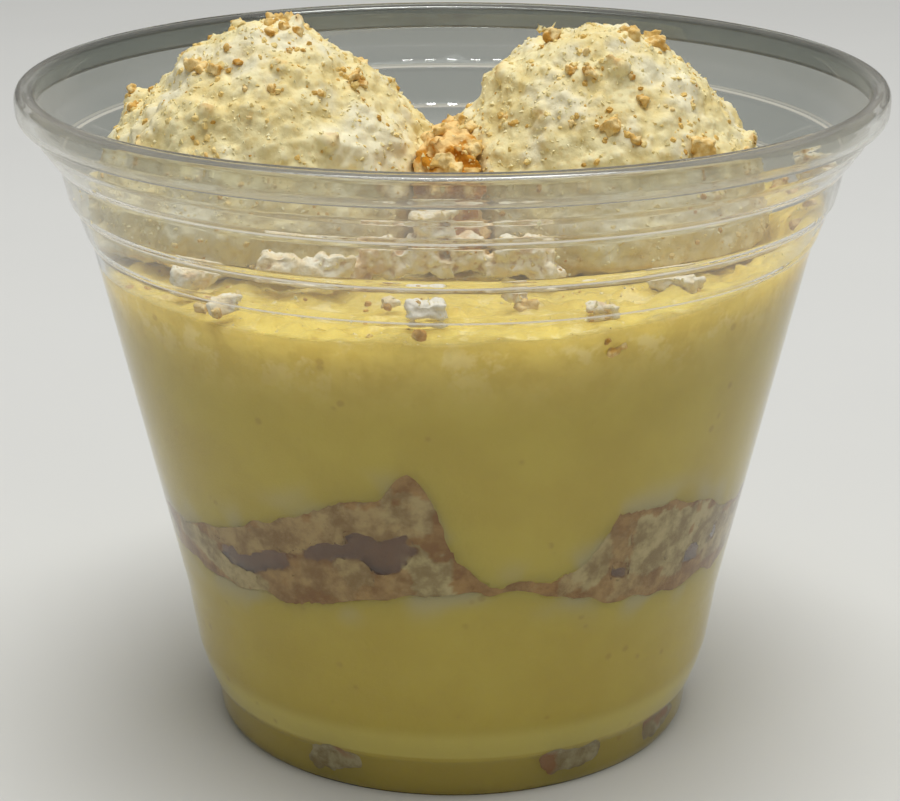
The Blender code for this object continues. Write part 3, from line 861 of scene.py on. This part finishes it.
def grain_shape(tree, seed, sides):
    """A rough grain about one unit in radius, of 8 faces from 4 sides or 24 from 6."""
    ball = add_node(tree, "GeometryNodeMeshUVSphere", None, {"Segments": sides, "Rings": sides // 2})
    noise_4d = {"noise_dimensions": "4D"}
    pattern = add_node(tree, "ShaderNodeTexNoise", noise_4d, {"W": seed, "Scale": 1.3})
    sockets = {0: pattern.outputs["Color"], 1: (0.5, 0.5, 0.5)}
    centred = add_node(tree, "ShaderNodeVectorMath", {"operation": "SUBTRACT"}, sockets)
    sockets = {"Geometry": ball.outputs["Mesh"], "Offset": centred.outputs[0]}
    rough = add_node(tree, "GeometryNodeSetPosition", None, sockets).outputs[0]
    return add_node(tree, "GeometryNodeGeometryToInstance", None, {"Geometry": rough}).outputs[0]


def chance(tree, kind, low, high, seed):
    """A value drawn by chance for each point, between two numbers or two vectors."""
    first = 0 if kind == "FLOAT_VECTOR" else 2
    sockets = {first: low, first + 1: high, "Seed": seed}
    made = add_node(tree, "FunctionNodeRandomValue", {"data_type": kind}, sockets)
    return made.outputs[0 if kind == "FLOAT_VECTOR" else 1]


def crumb_tree(name, carriers, where, sides):
    """The node tree, with inputs for how many grains, their sizes, their seed and their finish."""
    tree = bpy.data.node_groups.new(name, "GeometryNodeTree")
    for label, kind in CRUMB_INPUTS:
        tree.interface.new_socket(label, in_out="INPUT", socket_type="NodeSocket" + kind)
    tree.interface.new_socket("Geometry", in_out="OUTPUT", socket_type="NodeSocketGeometry")
    given = tree.nodes.new("NodeGroupInput").outputs

    def step(kind, sockets, settings=None):
        return add_node(tree, kind, settings, sockets).outputs

    ground = tree.nodes.new("GeometryNodeJoinGeometry")
    for carrier in carriers:
        info = step("GeometryNodeObjectInfo", {"Object": carrier})
        tree.links.new(info["Geometry"], ground.inputs[0])
    kinds = tree.nodes.new("GeometryNodeJoinGeometry")
    for seed in GRAIN_SEEDS:
        tree.links.new(grain_shape(tree, seed, sides), kinds.inputs[0])

    room = step("GeometryNodeInputNamedAttribute", {"Name": where})["Attribute"]
    sockets = {0: given["Per square metre"], 1: room}
    density = step("ShaderNodeMath", sockets, {"operation": "MULTIPLY"})[0]
    sockets = {"Mesh": ground.outputs[0], "Density": density, "Seed": given["Seed"]}
    points = step("GeometryNodeDistributePointsOnFaces", sockets)
    sockets = {0: points["Normal"], "Scale": given["Sunk"]}
    inward = step("ShaderNodeVectorMath", sockets, {"operation": "SCALE"})[0]
    sunk = step("GeometryNodeSetPosition", {"Geometry": points["Points"], "Offset": inward})[0]

    any_turn = chance(tree, "FLOAT_VECTOR", (0, 0, 0), FULL_TURN, 3)
    turn = step("FunctionNodeEulerToRotation", {0: any_turn})[0]
    sockets = {0: chance(tree, "FLOAT", 0.0, 1.0, 5), 1: 2.0}
    mostly_small = step("ShaderNodeMath", sockets, {"operation": "POWER"})[0]
    sockets = {"Value": mostly_small, "To Min": given["Smallest"], "To Max": given["Largest"]}
    size = step("ShaderNodeMapRange", sockets)["Result"]
    sockets = {0: chance(tree, "FLOAT_VECTOR", (0.7, 0.7, 0.6), (1.3, 1.2, 1.0), 7), "Scale": size}
    stretch = step("ShaderNodeVectorMath", sockets, {"operation": "SCALE"})[0]

    placed = step("GeometryNodeInstanceOnPoints", {
        "Points": sunk, "Instance": kinds.outputs[0], "Pick Instance": True,
        "Rotation": turn, "Scale": stretch,
    })[0]
    sockets = {"Geometry": placed, "Name": "shade", "Value": chance(tree, "FLOAT", 0.0, 1.0, 9)}
    shaded = step("GeometryNodeStoreNamedAttribute", sockets, {"domain": "INSTANCE"})[0]
    real = step("GeometryNodeRealizeInstances", {"Geometry": shaded})[0]
    done = step("GeometryNodeSetMaterial", {"Geometry": real, "Material": given["Finish"]})[0]
    tree.links.new(done, tree.nodes.new("NodeGroupOutput").inputs[0])
    return tree


def scatter(name, carriers, where, sides, per_square_mm, sizes, sunk, seed, material):
    """A piece made of crumbs on the carriers, as a plain mesh. Sizes are radii in millimetres."""
    blank = add_piece(name, bpy.data.meshes.new(name))
    modifier = blank.modifiers.new("crumbs", "NODES")
    tree = crumb_tree(name, carriers, where, sides)
    modifier.node_group = tree
    values = {
        "Per square metre": per_square_mm / MM**2, "Smallest": sizes[0] * MM,
        "Largest": sizes[1] * MM, "Sunk": -sunk * MM, "Seed": seed, "Finish": material,
    }
    for item in tree.interface.items_tree:
        if item.in_out == "INPUT" and item.name in values:
            modifier[item.identifier] = values[item.name]
    mesh = plain_mesh(blank, name)
    print(name, "faces:", len(mesh.polygons))
    return add_piece(name, mesh)


print("crumb tree ready")

# %% [markdown]
# Colours are written as screen values and turned into the linear ones that shaders take. The plastic
# is the hardest finish: a plain glass shader would leave the food in noisy shadow, so rays that only
# carry light to the food pass straight through a tinted Transparent shader, while the camera and the
# reflections see real refraction. Above the custard the plastic's back is tinted darker as painted
# shade. A milky film of haze in patches is made brighter at the skirt and the lip as painted light,
# and is drawn as a white line at each ring as a painted highlight.

# %% Colours and clear plastic
def paint(red, green, blue):
    """The linear colour for screen values from 0 to 255."""
    return tuple(((c / 255 + 0.055) / 1.055) ** 2.4 for c in (red, green, blue)) + (1.0,)


def principled(finish, sockets):
    return finish.node("ShaderNodeBsdfPrincipled", {"subsurface_method": "BURLEY"}, sockets).outputs[0]


RING_HEIGHTS = (56.15 * MM, 59.95 * MM, 64.65 * MM)
FILM_COLOUR = paint(240, 236, 226)


def plastic_finish():
    finish = Finish("clear_plastic")
    drift = finish.cloud(9 * MM, 2)
    haze = finish.patches(14 * MM, 0.35, 0.7)
    parts = finish.node("ShaderNodeSeparateXYZ", None, {"Vector": finish.place}).outputs
    depth, height = parts["Y"], parts["Z"]
    above = finish.step(height, 54 * MM, 60 * MM)
    # Painted shade: the upper back of the plastic is tinted darker grey than its front and its lip.
    far = above * finish.step(depth, -18 * MM, 18 * MM) * (1 - finish.step(height, 71 * MM, 74 * MM))
    plastic = principled(finish, {
        "Base Color": finish.mix(far, paint(238, 239, 236), paint(182, 186, 182)),
        "Roughness": 0.0,
        "IOR": 1.46,
        "Transmission Weight": 1.0,
        "Normal": finish.bump(drift, 0.05 * MM, 0.3),
    })
    # Painted light: the milky film, haze in patches, is raised at the skirt and the lip, and a white
    # line at each ring is a painted highlight.
    painted_lip_light = finish.step(height, 71 * MM, 74 * MM)
    skirt = finish.step(height, 65 * MM, 67 * MM) * (1 - finish.step(height, 69.2 * MM, 69.8 * MM))
    haze_and_painted_light = above * (1 - far * 0.5) * (haze * 0.04 + 0.06 + skirt * 0.06 + painted_lip_light * 0.1)
    for ring in RING_HEIGHTS:
        line = finish.step(height, ring - 0.16 * MM, ring - 0.07 * MM)
        haze_and_painted_light = haze_and_painted_light + line * (1 - finish.step(height, ring + 0.07 * MM, ring + 0.16 * MM)) * 0.55

    def plain(kind, colour):
        return finish.node("ShaderNodeBsdf" + kind, None, {"Color": colour}).outputs[0]

    def blend(share, first, second):
        return finish.node("ShaderNodeMixShader", None, {0: share, 1: first, 2: second}).outputs[0]

    film = blend(0.5, plain("Diffuse", FILM_COLOUR), plain("Translucent", FILM_COLOUR))
    plastic = blend(haze_and_painted_light, plastic, film)
    dim, clear = paint(244, 245, 242), paint(253, 253, 252)
    straight = blend(above, plain("Transparent", dim), plain("Transparent", clear))
    rays = finish.node("ShaderNodeLightPath").outputs
    light_only = Amount(finish, rays["Is Shadow Ray"]) + Amount(finish, rays["Is Diffuse Ray"])
    return finish.surface(blend(light_only, plastic, straight))


def dress(piece, material):
    piece.data.materials.clear()
    piece.data.materials.append(material)


dress(cup, plastic_finish())
print("plastic ready")

# %% [markdown]
# Custard is smooth and a little waxy. Light that enters it scatters before it leaves, so a short
# subsurface radius softens its edges. Its top is painted paler than the deep yellow seen through the
# wall, as painted light: where it faces up, and in a fade over a few millimetres below the rim of the
# layer, for light that falls on the top and glows down the side. Each point keeps its share of this
# painted light, stored as skin. Near the foot the custard is painted lighter in a band and darker
# below it, and the upper layer is painted darker where its top edge meets the wall, as painted light
# and shade. The mottling is noise on the object's own coordinates.

# %% Custard
# The pale top yellow and its fade below the edge are painted light.
PAINTED_GLOW_FADE = 10 * MM
SIDE_YELLOW = paint(211, 187, 73)
PAINTED_LIGHT_YELLOW = paint(230, 207, 110)
BROWN_MARK = (2.1 * MM, -27.5 * MM, 19.7 * MM), (3.0 * MM, 3.0 * MM, 1.2 * MM)
RED_MARK = (2.2 * MM, -24.5 * MM, 2.2 * MM), (1.8 * MM, 2.0 * MM, 1.2 * MM)


def keep_painted_light_and_shade(piece):
    """Stores each point's share of painted light on the top, and where the top edge meets the wall, for
    painted shade.
    """
    places = points_of(piece.data)
    rim = edge_at(own_edge(places, np.max), angle_of(places))
    # Painted light: the pale top fades down the side below the layer's top edge.
    below = 1 - smooth_step(rim - places[:, 2], 0, PAINTED_GLOW_FADE)
    facing_up = smooth_step(normals_of(piece.data)[:, 2], 0.2, 0.8)
    keep_number(piece.data, "skin", np.maximum(facing_up, below))
    # The edge share marks where the top edge meets the wall, for painted shade.
    wall = inner_wall(places[:, 2])
    near_wall = smooth_step(radius_of(places), wall - 1.8 * MM, wall - 0.8 * MM)
    from_rim = smooth_step(np.abs(rim - places[:, 2]), 0.4 * MM, 1.8 * MM)
    keep_number(piece.data, "edge", near_wall * (1 - from_rim))


def keep_smear(piece, edge, seed):
    """Stores where soaked wafer clouds the custard, in patches along the band."""
    places = points_of(piece.data)
    away = np.abs(places[:, 2] - edge_at(edge, angle_of(places)))
    patches = smooth_step(waves(places, 5 * MM, seed), -0.1, 0.4)
    keep_number(piece.data, "smear", (1 - smooth_step(away, 0.2 * MM, 4.5 * MM)) * patches)


def custard_finish():
    finish = Finish("custard")
    # The skin share is painted light: paler where the custard faces up and below its top edge.
    skin = finish.grain("skin")
    tone = finish.patches(9 * MM, 0.3, 0.7, 4, 0.6)
    deep = finish.mix(tone, paint(203, 177, 66), SIDE_YELLOW)
    height = finish.node("ShaderNodeSeparateXYZ", None, {"Vector": finish.place}).outputs["Z"]
    # Painted light and shade: a lighter band above the foot, and a darker foot.
    band = finish.step(height, 5.0 * MM, 5.3 * MM) * (1 - finish.step(height, 7.4 * MM, 9.2 * MM))
    foot = 1 - finish.step(height, 4.4 * MM, 4.8 * MM)
    deep = finish.mix(foot * 0.8, deep, paint(184, 160, 60))
    deep = finish.mix(band * 0.7, deep, paint(230, 213, 112))
    deep = finish.mix(finish.grain("smear") * 0.75, deep, paint(204, 188, 138))
    patch = finish.patches(3 * MM, 0.4, 0.65, 3, 0.6)
    top = finish.mix(patch, PAINTED_LIGHT_YELLOW, paint(217, 191, 92))
    creamy = finish.patches(4.5 * MM, 0.54, 0.64, 4, 0.65)
    colour = finish.mix(skin, deep, finish.mix(creamy * skin * 0.6, top, paint(244, 228, 168)))
    # Painted shade: darker where the top edge meets the wall.
    colour = finish.mix(finish.grain("edge") * 0.7, colour, paint(204, 176, 84))
    fleck_here = finish.patches(6 * MM, 0.56, 0.62, 2)
    fleck = (1 - finish.step(finish.cells(2.2 * MM), 0.12, 0.26)) * fleck_here
    colour = finish.mix(fleck * 0.35, colour, paint(170, 128, 56))
    colour = finish.mix(finish.mark(*BROWN_MARK) * 0.5, colour, paint(160, 124, 54))
    colour = finish.mix(finish.mark(*RED_MARK) * 0.7, colour, paint(160, 92, 44))
    sockets = {
        "Base Color": colour,
        "Roughness": 0.46 - skin * (tone * 0.1 + 0.12),
        "IOR": 1.38,
        "Subsurface Weight": 0.85,
        "Subsurface Radius": (1.0, 0.82, 0.45),
        "Subsurface Scale": 8.0 * MM,
        "Normal": finish.bump(finish.cloud(1.2 * MM, 3) * (skin + 0.5), 0.4 * MM, 0.5),
    }
    return finish.surface(principled(finish, sockets))


keep_painted_light_and_shade(custard_high)
keep_number(custard_low.data, "skin", np.zeros(len(custard_low.data.vertices)))
keep_smear(custard_high, UPPER_EDGE, 91)
keep_smear(custard_low, LOWER_EDGE, 93)
custard = custard_finish()
dress(custard_low, custard)
dress(custard_high, custard)
print("custard ready")

# %% [markdown]
# The cream is pale and a little yellow, with whiter patches where no crumbs stuck. The proud crumbs
# of the imported scoops turn golden through their stored number, and the finest dust is a pattern of
# cells in the colour alone. Its pits are painted darker and its peaks paler, as painted shade and
# painted highlight.

# %% Whipped cream
def cream_finish():
    finish = Finish("whipped_cream")
    tone = finish.patches(4 * MM, 0.35, 0.65, 4, 0.6)
    colour = finish.mix(tone, paint(232, 212, 148), paint(243, 231, 180))
    pale = finish.patches(7 * MM, 0.48, 0.62, 4)
    colour = finish.mix(pale * 0.75, colour, paint(239, 233, 204))
    dust = (1 - finish.step(finish.cells(0.8 * MM), 0.2, 0.42)) * (1 - pale)
    colour = finish.mix(dust * 0.4, colour, paint(226, 198, 130))
    # Painted shade in the pits, and a painted highlight on the peaks.
    pit = finish.pits(0.1, 0.5)
    colour = finish.mix(pit * 0.35, colour, paint(206, 188, 124))
    painted_peak_highlight = finish.step(finish.grain("ridge"), 0.6, 0.95)
    colour = finish.mix(painted_peak_highlight * 0.35, colour, paint(244, 236, 200))
    crumb = finish.grain("crumb")
    toast = finish.patches(1.4 * MM, 0.42, 0.58)
    crumb_colour = finish.mix(toast, paint(238, 212, 148), paint(206, 156, 84))
    colour = finish.mix(crumb * 0.6, colour, crumb_colour)
    sockets = {
        "Base Color": colour,
        "Roughness": crumb * 0.2 + 0.55,
        "IOR": 1.38,
        "Subsurface Weight": 0.2,
        "Subsurface Radius": (1.0, 0.8, 0.5),
        "Subsurface Scale": 1.0 * MM,
        "Normal": finish.bump(finish.cloud(0.9 * MM, 4, 0.6), 0.3 * MM, 0.5),
    }
    return finish.surface(principled(finish, sockets))


cream = cream_finish()
dress(cream_left, cream)
dress(cream_right, cream)
print("cream ready")

# %% [markdown]
# A vanilla wafer is a baked foam. In the band it has soaked and gone grey-tan, with toasted pieces,
# and it is painted dark brown where an air pocket goes deep, as painted shade; its two stored numbers
# tell these apart. Every wafer and the crumb heap are also painted darker in the pits between their
# ridges, as painted shade. On top it is dry and pale, with a browner skin, and the crumbs run from
# cream to amber by their own shade.

# %% Wafer and crumbs
def crumbly(finish, colour, strength=0.8):
    grain = finish.cloud(0.45 * MM, 4, 0.65)
    return finish.surface(principled(finish, {
        "Base Color": colour,
        "Roughness": grain * 0.2 + 0.75,
        "IOR": 1.4,
        "Specular IOR Level": 0.3,
        "Normal": finish.bump(grain, 0.25 * MM, strength),
    }))


def band_finish():
    finish = Finish("soaked_wafer")
    tone = finish.patches(2.4 * MM, 0.35, 0.65, 5, 0.65)
    pale = finish.mix(tone, paint(154, 130, 82), paint(205, 186, 134))
    toasted = finish.mix(tone, paint(142, 96, 46), paint(180, 136, 74))
    colour = finish.mix(finish.grain("toast"), pale, toasted)
    # Painted shade: darker brown in the pits, and in the air pockets by their stored depth.
    pit = finish.pits(0.15, 0.5)
    colour = finish.mix(pit * 0.6, colour, paint(130, 88, 44))
    deep = finish.step(finish.grain("depth"), 0.5, 1.6)
    return crumbly(finish, finish.mix(deep * 0.9, colour, paint(122, 78, 42)))


def dry_wafer_finish():
    finish = Finish("dry_wafer")
    tone = finish.patches(2.2 * MM, 0.38, 0.6, 5, 0.65)
    colour = finish.mix(tone, paint(248, 228, 186), paint(253, 246, 224))
    skin = finish.patches(4 * MM, 0.6, 0.66, 2)
    colour = finish.mix(skin * 0.5, colour, paint(210, 160, 96))
    # Painted shade in the pits between the ridges.
    pit = finish.pits(0.1, 0.45)
    colour = finish.mix(pit * 0.6, colour, paint(186, 132, 70))
    return crumbly(finish, finish.mix(finish.grain("white") * 0.8, colour, paint(250, 246, 234)))


def sunk_wafer_finish():
    finish = Finish("sunk_wafer")
    tone = finish.patches(2.5 * MM, 0.35, 0.65, 5, 0.65)
    warm = finish.patches(5 * MM, 0.5, 0.58, 2)
    colour = finish.mix(tone, paint(148, 128, 84), paint(192, 178, 138))
    return crumbly(finish, finish.mix(warm * 0.75, colour, paint(160, 98, 50)))


def crumb_finish(name, dark, middle, light):
    """Grains whose stored shade runs from dark through a middle colour to light."""
    finish = Finish(name)
    stops = ((0.0, dark), (0.35, middle), (0.75, light), (1.0, light))
    ramp = finish.node("ShaderNodeValToRGB", {"stops": stops}, {"Fac": finish.grain("shade")})
    tone = finish.patches(0.6 * MM, 0.35, 0.65)
    return crumbly(finish, finish.mix(tone * 0.35, ramp.outputs["Color"], middle))


def heap_finish():
    finish = Finish("amber_crumbs")
    tone = finish.patches(2.2 * MM, 0.4, 0.54)
    colour = finish.mix(tone, paint(206, 140, 46), paint(244, 208, 140))
    # Painted shade in the pits between the ridges.
    pit = finish.pits(0.1, 0.5)
    return crumbly(finish, finish.mix(pit * 0.45, colour, paint(190, 128, 40)))


def golden_finish():
    finish = Finish("golden_crumb_skin")
    tone = finish.patches(1.2 * MM, 0.4, 0.6, 4, 0.6)
    toast = finish.patches(6 * MM, 0.45, 0.6, 2)
    colour = finish.mix(tone, paint(243, 217, 156), paint(224, 184, 108))
    return crumbly(finish, finish.mix(toast * tone * 0.8, colour, paint(192, 134, 48)))


dress(wafer_band, band_finish())
dress(wafers_top, dry_wafer_finish())
dress(wafers_base, sunk_wafer_finish())
dress(heap, heap_finish())
dust_shades = paint(226, 198, 126), paint(240, 224, 162), paint(247, 238, 194)
bits_shades = paint(198, 150, 70), paint(228, 192, 114), paint(243, 220, 152)
pale_dust = crumb_finish("pale_dust", *dust_shades)
golden_bits = crumb_finish("golden_bits", *bits_shades)
print("wafer finishes ready")

# %% [markdown]
# A few golden crumbs stand out in the photograph. Each is placed by its picture column and row: a ray
# from the camera finds the food there, so the crumb rests on what carries it from every side. The
# unseen back gets the same ones. Smaller golden bits gather round them, the pale dust lies over all
# that faces up, and a few specks stick to the inside of the wall.

# %% Scatter the crumbs
BOX_TOP = cad_box[1][2]
TOP_GAP = 1.2 * MM
GOLDEN_VOXEL = 0.19 * MM
STRAY_BITS = 0.12
WALL_SPECKS = 0.025
CRUMB_SCALE = 0.85
FRONT_TO_BACK = 3 * MM
NO_BACK_BEFORE = -20 * MM
DROP_HEIGHT = 200 * MM
GOLDEN_CRUMBS = (  # picture column and row, and radius in mm before it is scaled
    (192, 66, 0.95), (200, 71, 0.6), (204, 66, 0.55), (216, 71, 0.8), (238, 62, 0.5),
    (227, 48, 0.45), (262, 15, 0.6), (270, 24, 0.6), (272, 35, 0.85), (285, 27, 0.75),
    (299, 32, 0.7), (272, 90, 0.55), (245, 87, 0.4), (355, 79, 1.0), (362, 84, 0.6),
    (288, 50, 0.4), (304, 51, 0.4), (206, 157, 0.45), (133, 107, 0.7), (362, 99, 0.4),
    (378, 178, 0.4), (320, 93, 0.5), (250, 117, 0.4), (552, 39, 0.95), (632, 36, 1.1),
    (654, 45, 1.1), (645, 33, 0.8), (624, 30, 0.6), (590, 71, 0.7), (596, 76, 0.5),
    (571, 69, 0.75), (586, 53, 0.5), (632, 78, 0.45), (642, 99, 0.75), (613, 128, 1.05),
    (607, 126, 0.6), (571, 123, 0.45), (702, 149, 1.5), (691, 101, 0.4), (635, 141, 0.6),
    (672, 110, 0.35), (506, 118, 0.4), (490, 174, 0.45), (747, 150, 0.6), (462, 122, 1.0),
    (470, 132, 1.1), (476, 146, 1.0), (468, 152, 0.9), (444, 165, 1.2), (455, 172, 1.1),
    (472, 172, 0.9), (440, 132, 0.8), (612, 352, 0.75), (606, 340, 0.55), (622, 345, 0.5),
    (419, 337, 0.9), (785, 186, 1.1), (797, 196, 0.9), (776, 192, 0.7), (205, 309, 0.9),
    (217, 312, 0.7), (530, 304, 1.0), (520, 308, 0.6),
)


def seen_at(column, row, trees):
    """The nearest point and normal that the camera sees at a place of the picture."""
    turn = camera.rotation_euler.to_matrix()
    across, up = column - PICTURE_WIDTH / 2 - AXIS_PIXEL_OFFSET, PICTURE_HEIGHT / 2 - row
    ray = turn @ Vector((across, up, -FOCAL_PIXELS)).normalized()
    hits = [tree.ray_cast(camera.location, ray) for tree in trees]
    return min((hit for hit in hits if hit[0] is not None), key=lambda hit: hit[3], default=None)


def golden_places(carriers):
    """Where the golden crumbs lie, and the same crumbs again on the unseen back."""
    graph = bpy.context.evaluated_depsgraph_get()
    trees = [BVHTree.FromObject(carrier, graph) for carrier in carriers]
    found = []
    for column, row, radius in GOLDEN_CRUMBS:
        hit = seen_at(column, row, trees)
        if hit:
            found.append((hit[0], hit[1], radius * CRUMB_SCALE * MM))
    for place, normal, radius in list(found):
        down = Vector((place.x, FRONT_TO_BACK - place.y, DROP_HEIGHT))
        hits = [tree.ray_cast(down, Vector((0, 0, -1))) for tree in trees]
        hits = [hit for hit in hits if hit[0] is not None]
        if hits and place.y > NO_BACK_BEFORE:
            top = min(hits, key=lambda hit: hit[3])
            found.append((top[0], top[1], radius))
    return found


def build_golden(found):
    """One mesh of rough broken crumbs, each half sunk in what carries it."""
    meshes = []
    for number, (place, normal, radius) in enumerate(found):
        block = rough_block((2 * radius, 1.7 * radius, 1.5 * radius), 200 + number, 3)
        turn = Matrix.Translation(place + normal * radius * 0.2)
        turn = turn @ Matrix.Rotation(number * 1.7, 4, "Z") @ Matrix.Rotation(number * 0.9, 4, "X")
        bmesh.ops.transform(block, matrix=turn, verts=block.verts)
        meshes.append(mesh_of(block, "golden"))
    mesh = even_faces(joined(meshes, "golden_crumbs"), GOLDEN_VOXEL, 0)
    places = points_of(mesh)
    move = 0.35 * MM * (grains(places, 0.8 * MM, 61) - 0.4) + 0.1 * MM * waves(places, 0.4 * MM, 62)
    set_points(mesh, places + normals_of(mesh) * move[:, None])
    mesh.shade_smooth()
    return mesh


def keep_room(piece, amount, seed, patch=6 * MM):
    """Stores where crumbs may lie: on what faces up, in patches, and not at the box's very top."""
    places = points_of(piece.data)
    facing_up = smooth_step(normals_of(piece.data)[:, 2], -0.5, 0.3)
    patches = smooth_step(waves(places, patch, seed), -0.35, 0.35) * 0.7 + 0.3
    below_top = places[:, 2] < BOX_TOP - TOP_GAP
    off_wall = smooth_step(inner_wall(places[:, 2]) - radius_of(places), 0.4 * MM, 1.4 * MM)
    room = facing_up * below_top * off_wall * amount
    golden = np.full(len(places), STRAY_BITS)
    for place, normal, radius in golden_spots:
        away = np.linalg.norm(places - np.array(place), axis=1)
        golden = np.maximum(golden, 1 - smooth_step(away, radius, 3.5 * radius))
    keep_number(piece.data, "room", room * patches)
    keep_number(piece.data, "golden_room", room * golden)


on_top = (cream_left, cream_right, custard_high, wafers_top, heap)
golden_spots = golden_places(on_top)
golden = add_piece("golden_crumbs", build_golden(golden_spots))
print("golden crumbs:", len(golden_spots), "faces:", len(golden.data.polygons))
keep_room(cream_left, 1.0, 61)
keep_room(cream_right, 1.0, 63)
keep_room(custard_high, 0.12, 65)
keep_room(wafers_top, 0.5, 67)
keep_room(heap, 0.4, 69, 2 * MM)
wall_heights = np.linspace(55.5, 67.0, 12) * MM
wall_line = [(float(inner_wall(z)) + 0.05 * MM, z) for z in wall_heights]
speck_wall = add_piece("speck_wall", turned("speck_wall", wall_line, 72))
speck_places = points_of(speck_wall.data)
on_front = smooth_step(-speck_places[:, 1], 0, 15 * MM)
speck_patches = smooth_step(waves(speck_places, 9 * MM, 71), -0.2, 0.3)
keep_number(speck_wall.data, "room", WALL_SPECKS * on_front * speck_patches)
keep_number(speck_wall.data, "golden_room", np.zeros(len(speck_places)))
on_top = on_top + (speck_wall,)
dust = scatter("pale_crumb_dust", on_top, "room", 4, 3.9, (0.13, 0.36), 0.1, 5, pale_dust)
bits = scatter("golden_crumb_bits", on_top, "golden_room", 6, 1.3, (0.2, 0.5), 0.1, 8, golden_bits)
bpy.data.objects.remove(speck_wall)
dress(golden, golden_finish())

# %% [markdown]
# The cup stands on a plain pale floor that also serves as the backdrop, since the camera looks down.
# The light is one large soft lamp overhead and a little behind, which leaves the cup's front darker
# than its top as in a kitchen, with a weak fill from the room. The plastic doesn't mirror that lamp:
# it mirrors a row of small spots and one thin strip in front, which give its lip and its rings the
# glints of the photograph.

# %% Floor and light
FLOOR_HALF = 3.0
CUP_MIDDLE = (0, 0, 0.05)
ROOM_LIGHT = 0.13


def floor_finish():
    finish = Finish("pale_floor")
    tone = finish.cloud(60 * MM, 3)
    colour = finish.mix(tone, paint(212, 212, 208), paint(217, 217, 213))
    sockets = {"Base Color": colour, "Roughness": 0.75}
    return finish.surface(principled(finish, sockets))


def add_lamp(name, place, size, power, target, mirrored=True):
    data = bpy.data.lights.new(name, "AREA")
    data.shape = "RECTANGLE"
    data.size, data.size_y = size
    data.energy = power
    lamp = bpy.data.objects.new(name, data)
    bpy.context.scene.collection.objects.link(lamp)
    lamp.location = place
    lamp.rotation_euler = (Vector(target) - Vector(place)).to_track_quat("-Z", "Y").to_euler()
    lamp.visible_glossy = mirrored


floor_mesh = bpy.data.meshes.new("pale_floor")
corners = [(x * FLOOR_HALF, y * FLOOR_HALF, 0) for x, y in ((-1, -1), (1, -1), (1, 1), (-1, 1))]
floor_mesh.from_pydata(corners, [], [(0, 1, 2, 3)])
floor = add_piece("pale_floor", floor_mesh)
dress(floor, floor_finish())
add_lamp("soft_overhead", (0.06, 0.04, 1.0), (0.9, 0.8), 10.8, CUP_MIDDLE, False)
for number in range(-2, 3):
    place = (number * 0.085, -0.4, 1.0)
    add_lamp(f"ceiling_spot_{number + 3}", place, (0.035, 0.035), 0.15, CUP_MIDDLE)
add_lamp("ceiling_strip", (0, -0.8, 1.0), (2.6, 0.03), 0.9, CUP_MIDDLE)
world = bpy.data.worlds.new("room")
world.use_nodes = True
backdrop = world.node_tree.nodes["Background"].inputs
backdrop["Color"].default_value = (1, 1, 1, 1)
backdrop["Strength"].default_value = ROOM_LIGHT
bpy.context.scene.world = world
bpy.context.scene.view_settings.view_transform = "Standard"

# %% [markdown]
# Last, the imported solids that each piece stands for are hidden, and each piece rides on the one
# body of the cup.

# %% Hide the imported solids and attach the pieces
standing_for = (
    (cup, ["cup"], "clear_plastic"),
    (custard_low, ["pudding_lower"], "pudding"),
    (custard_high, ["pudding_upper"], "pudding"),
    (cream_left, ["cream_left"], "whipped_cream"),
    (cream_right, ["cream_right"], "whipped_cream"),
    (wafer_band, ["wafer_layer"], "wafer"),
    (wafers_top, top_names, "wafer"),
    (wafers_base, base_names, "wafer"),
    (heap, ["crumb_heap"], "golden_crumb"),
    (golden, [], "golden_crumb"),
    (dust, [], "golden_crumb"),
    (bits, [], "golden_crumb"),
)
for piece, names, slot in standing_for:
    if names:
        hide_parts(*names)
    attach(piece, "root")
bpy.context.view_layer.update()
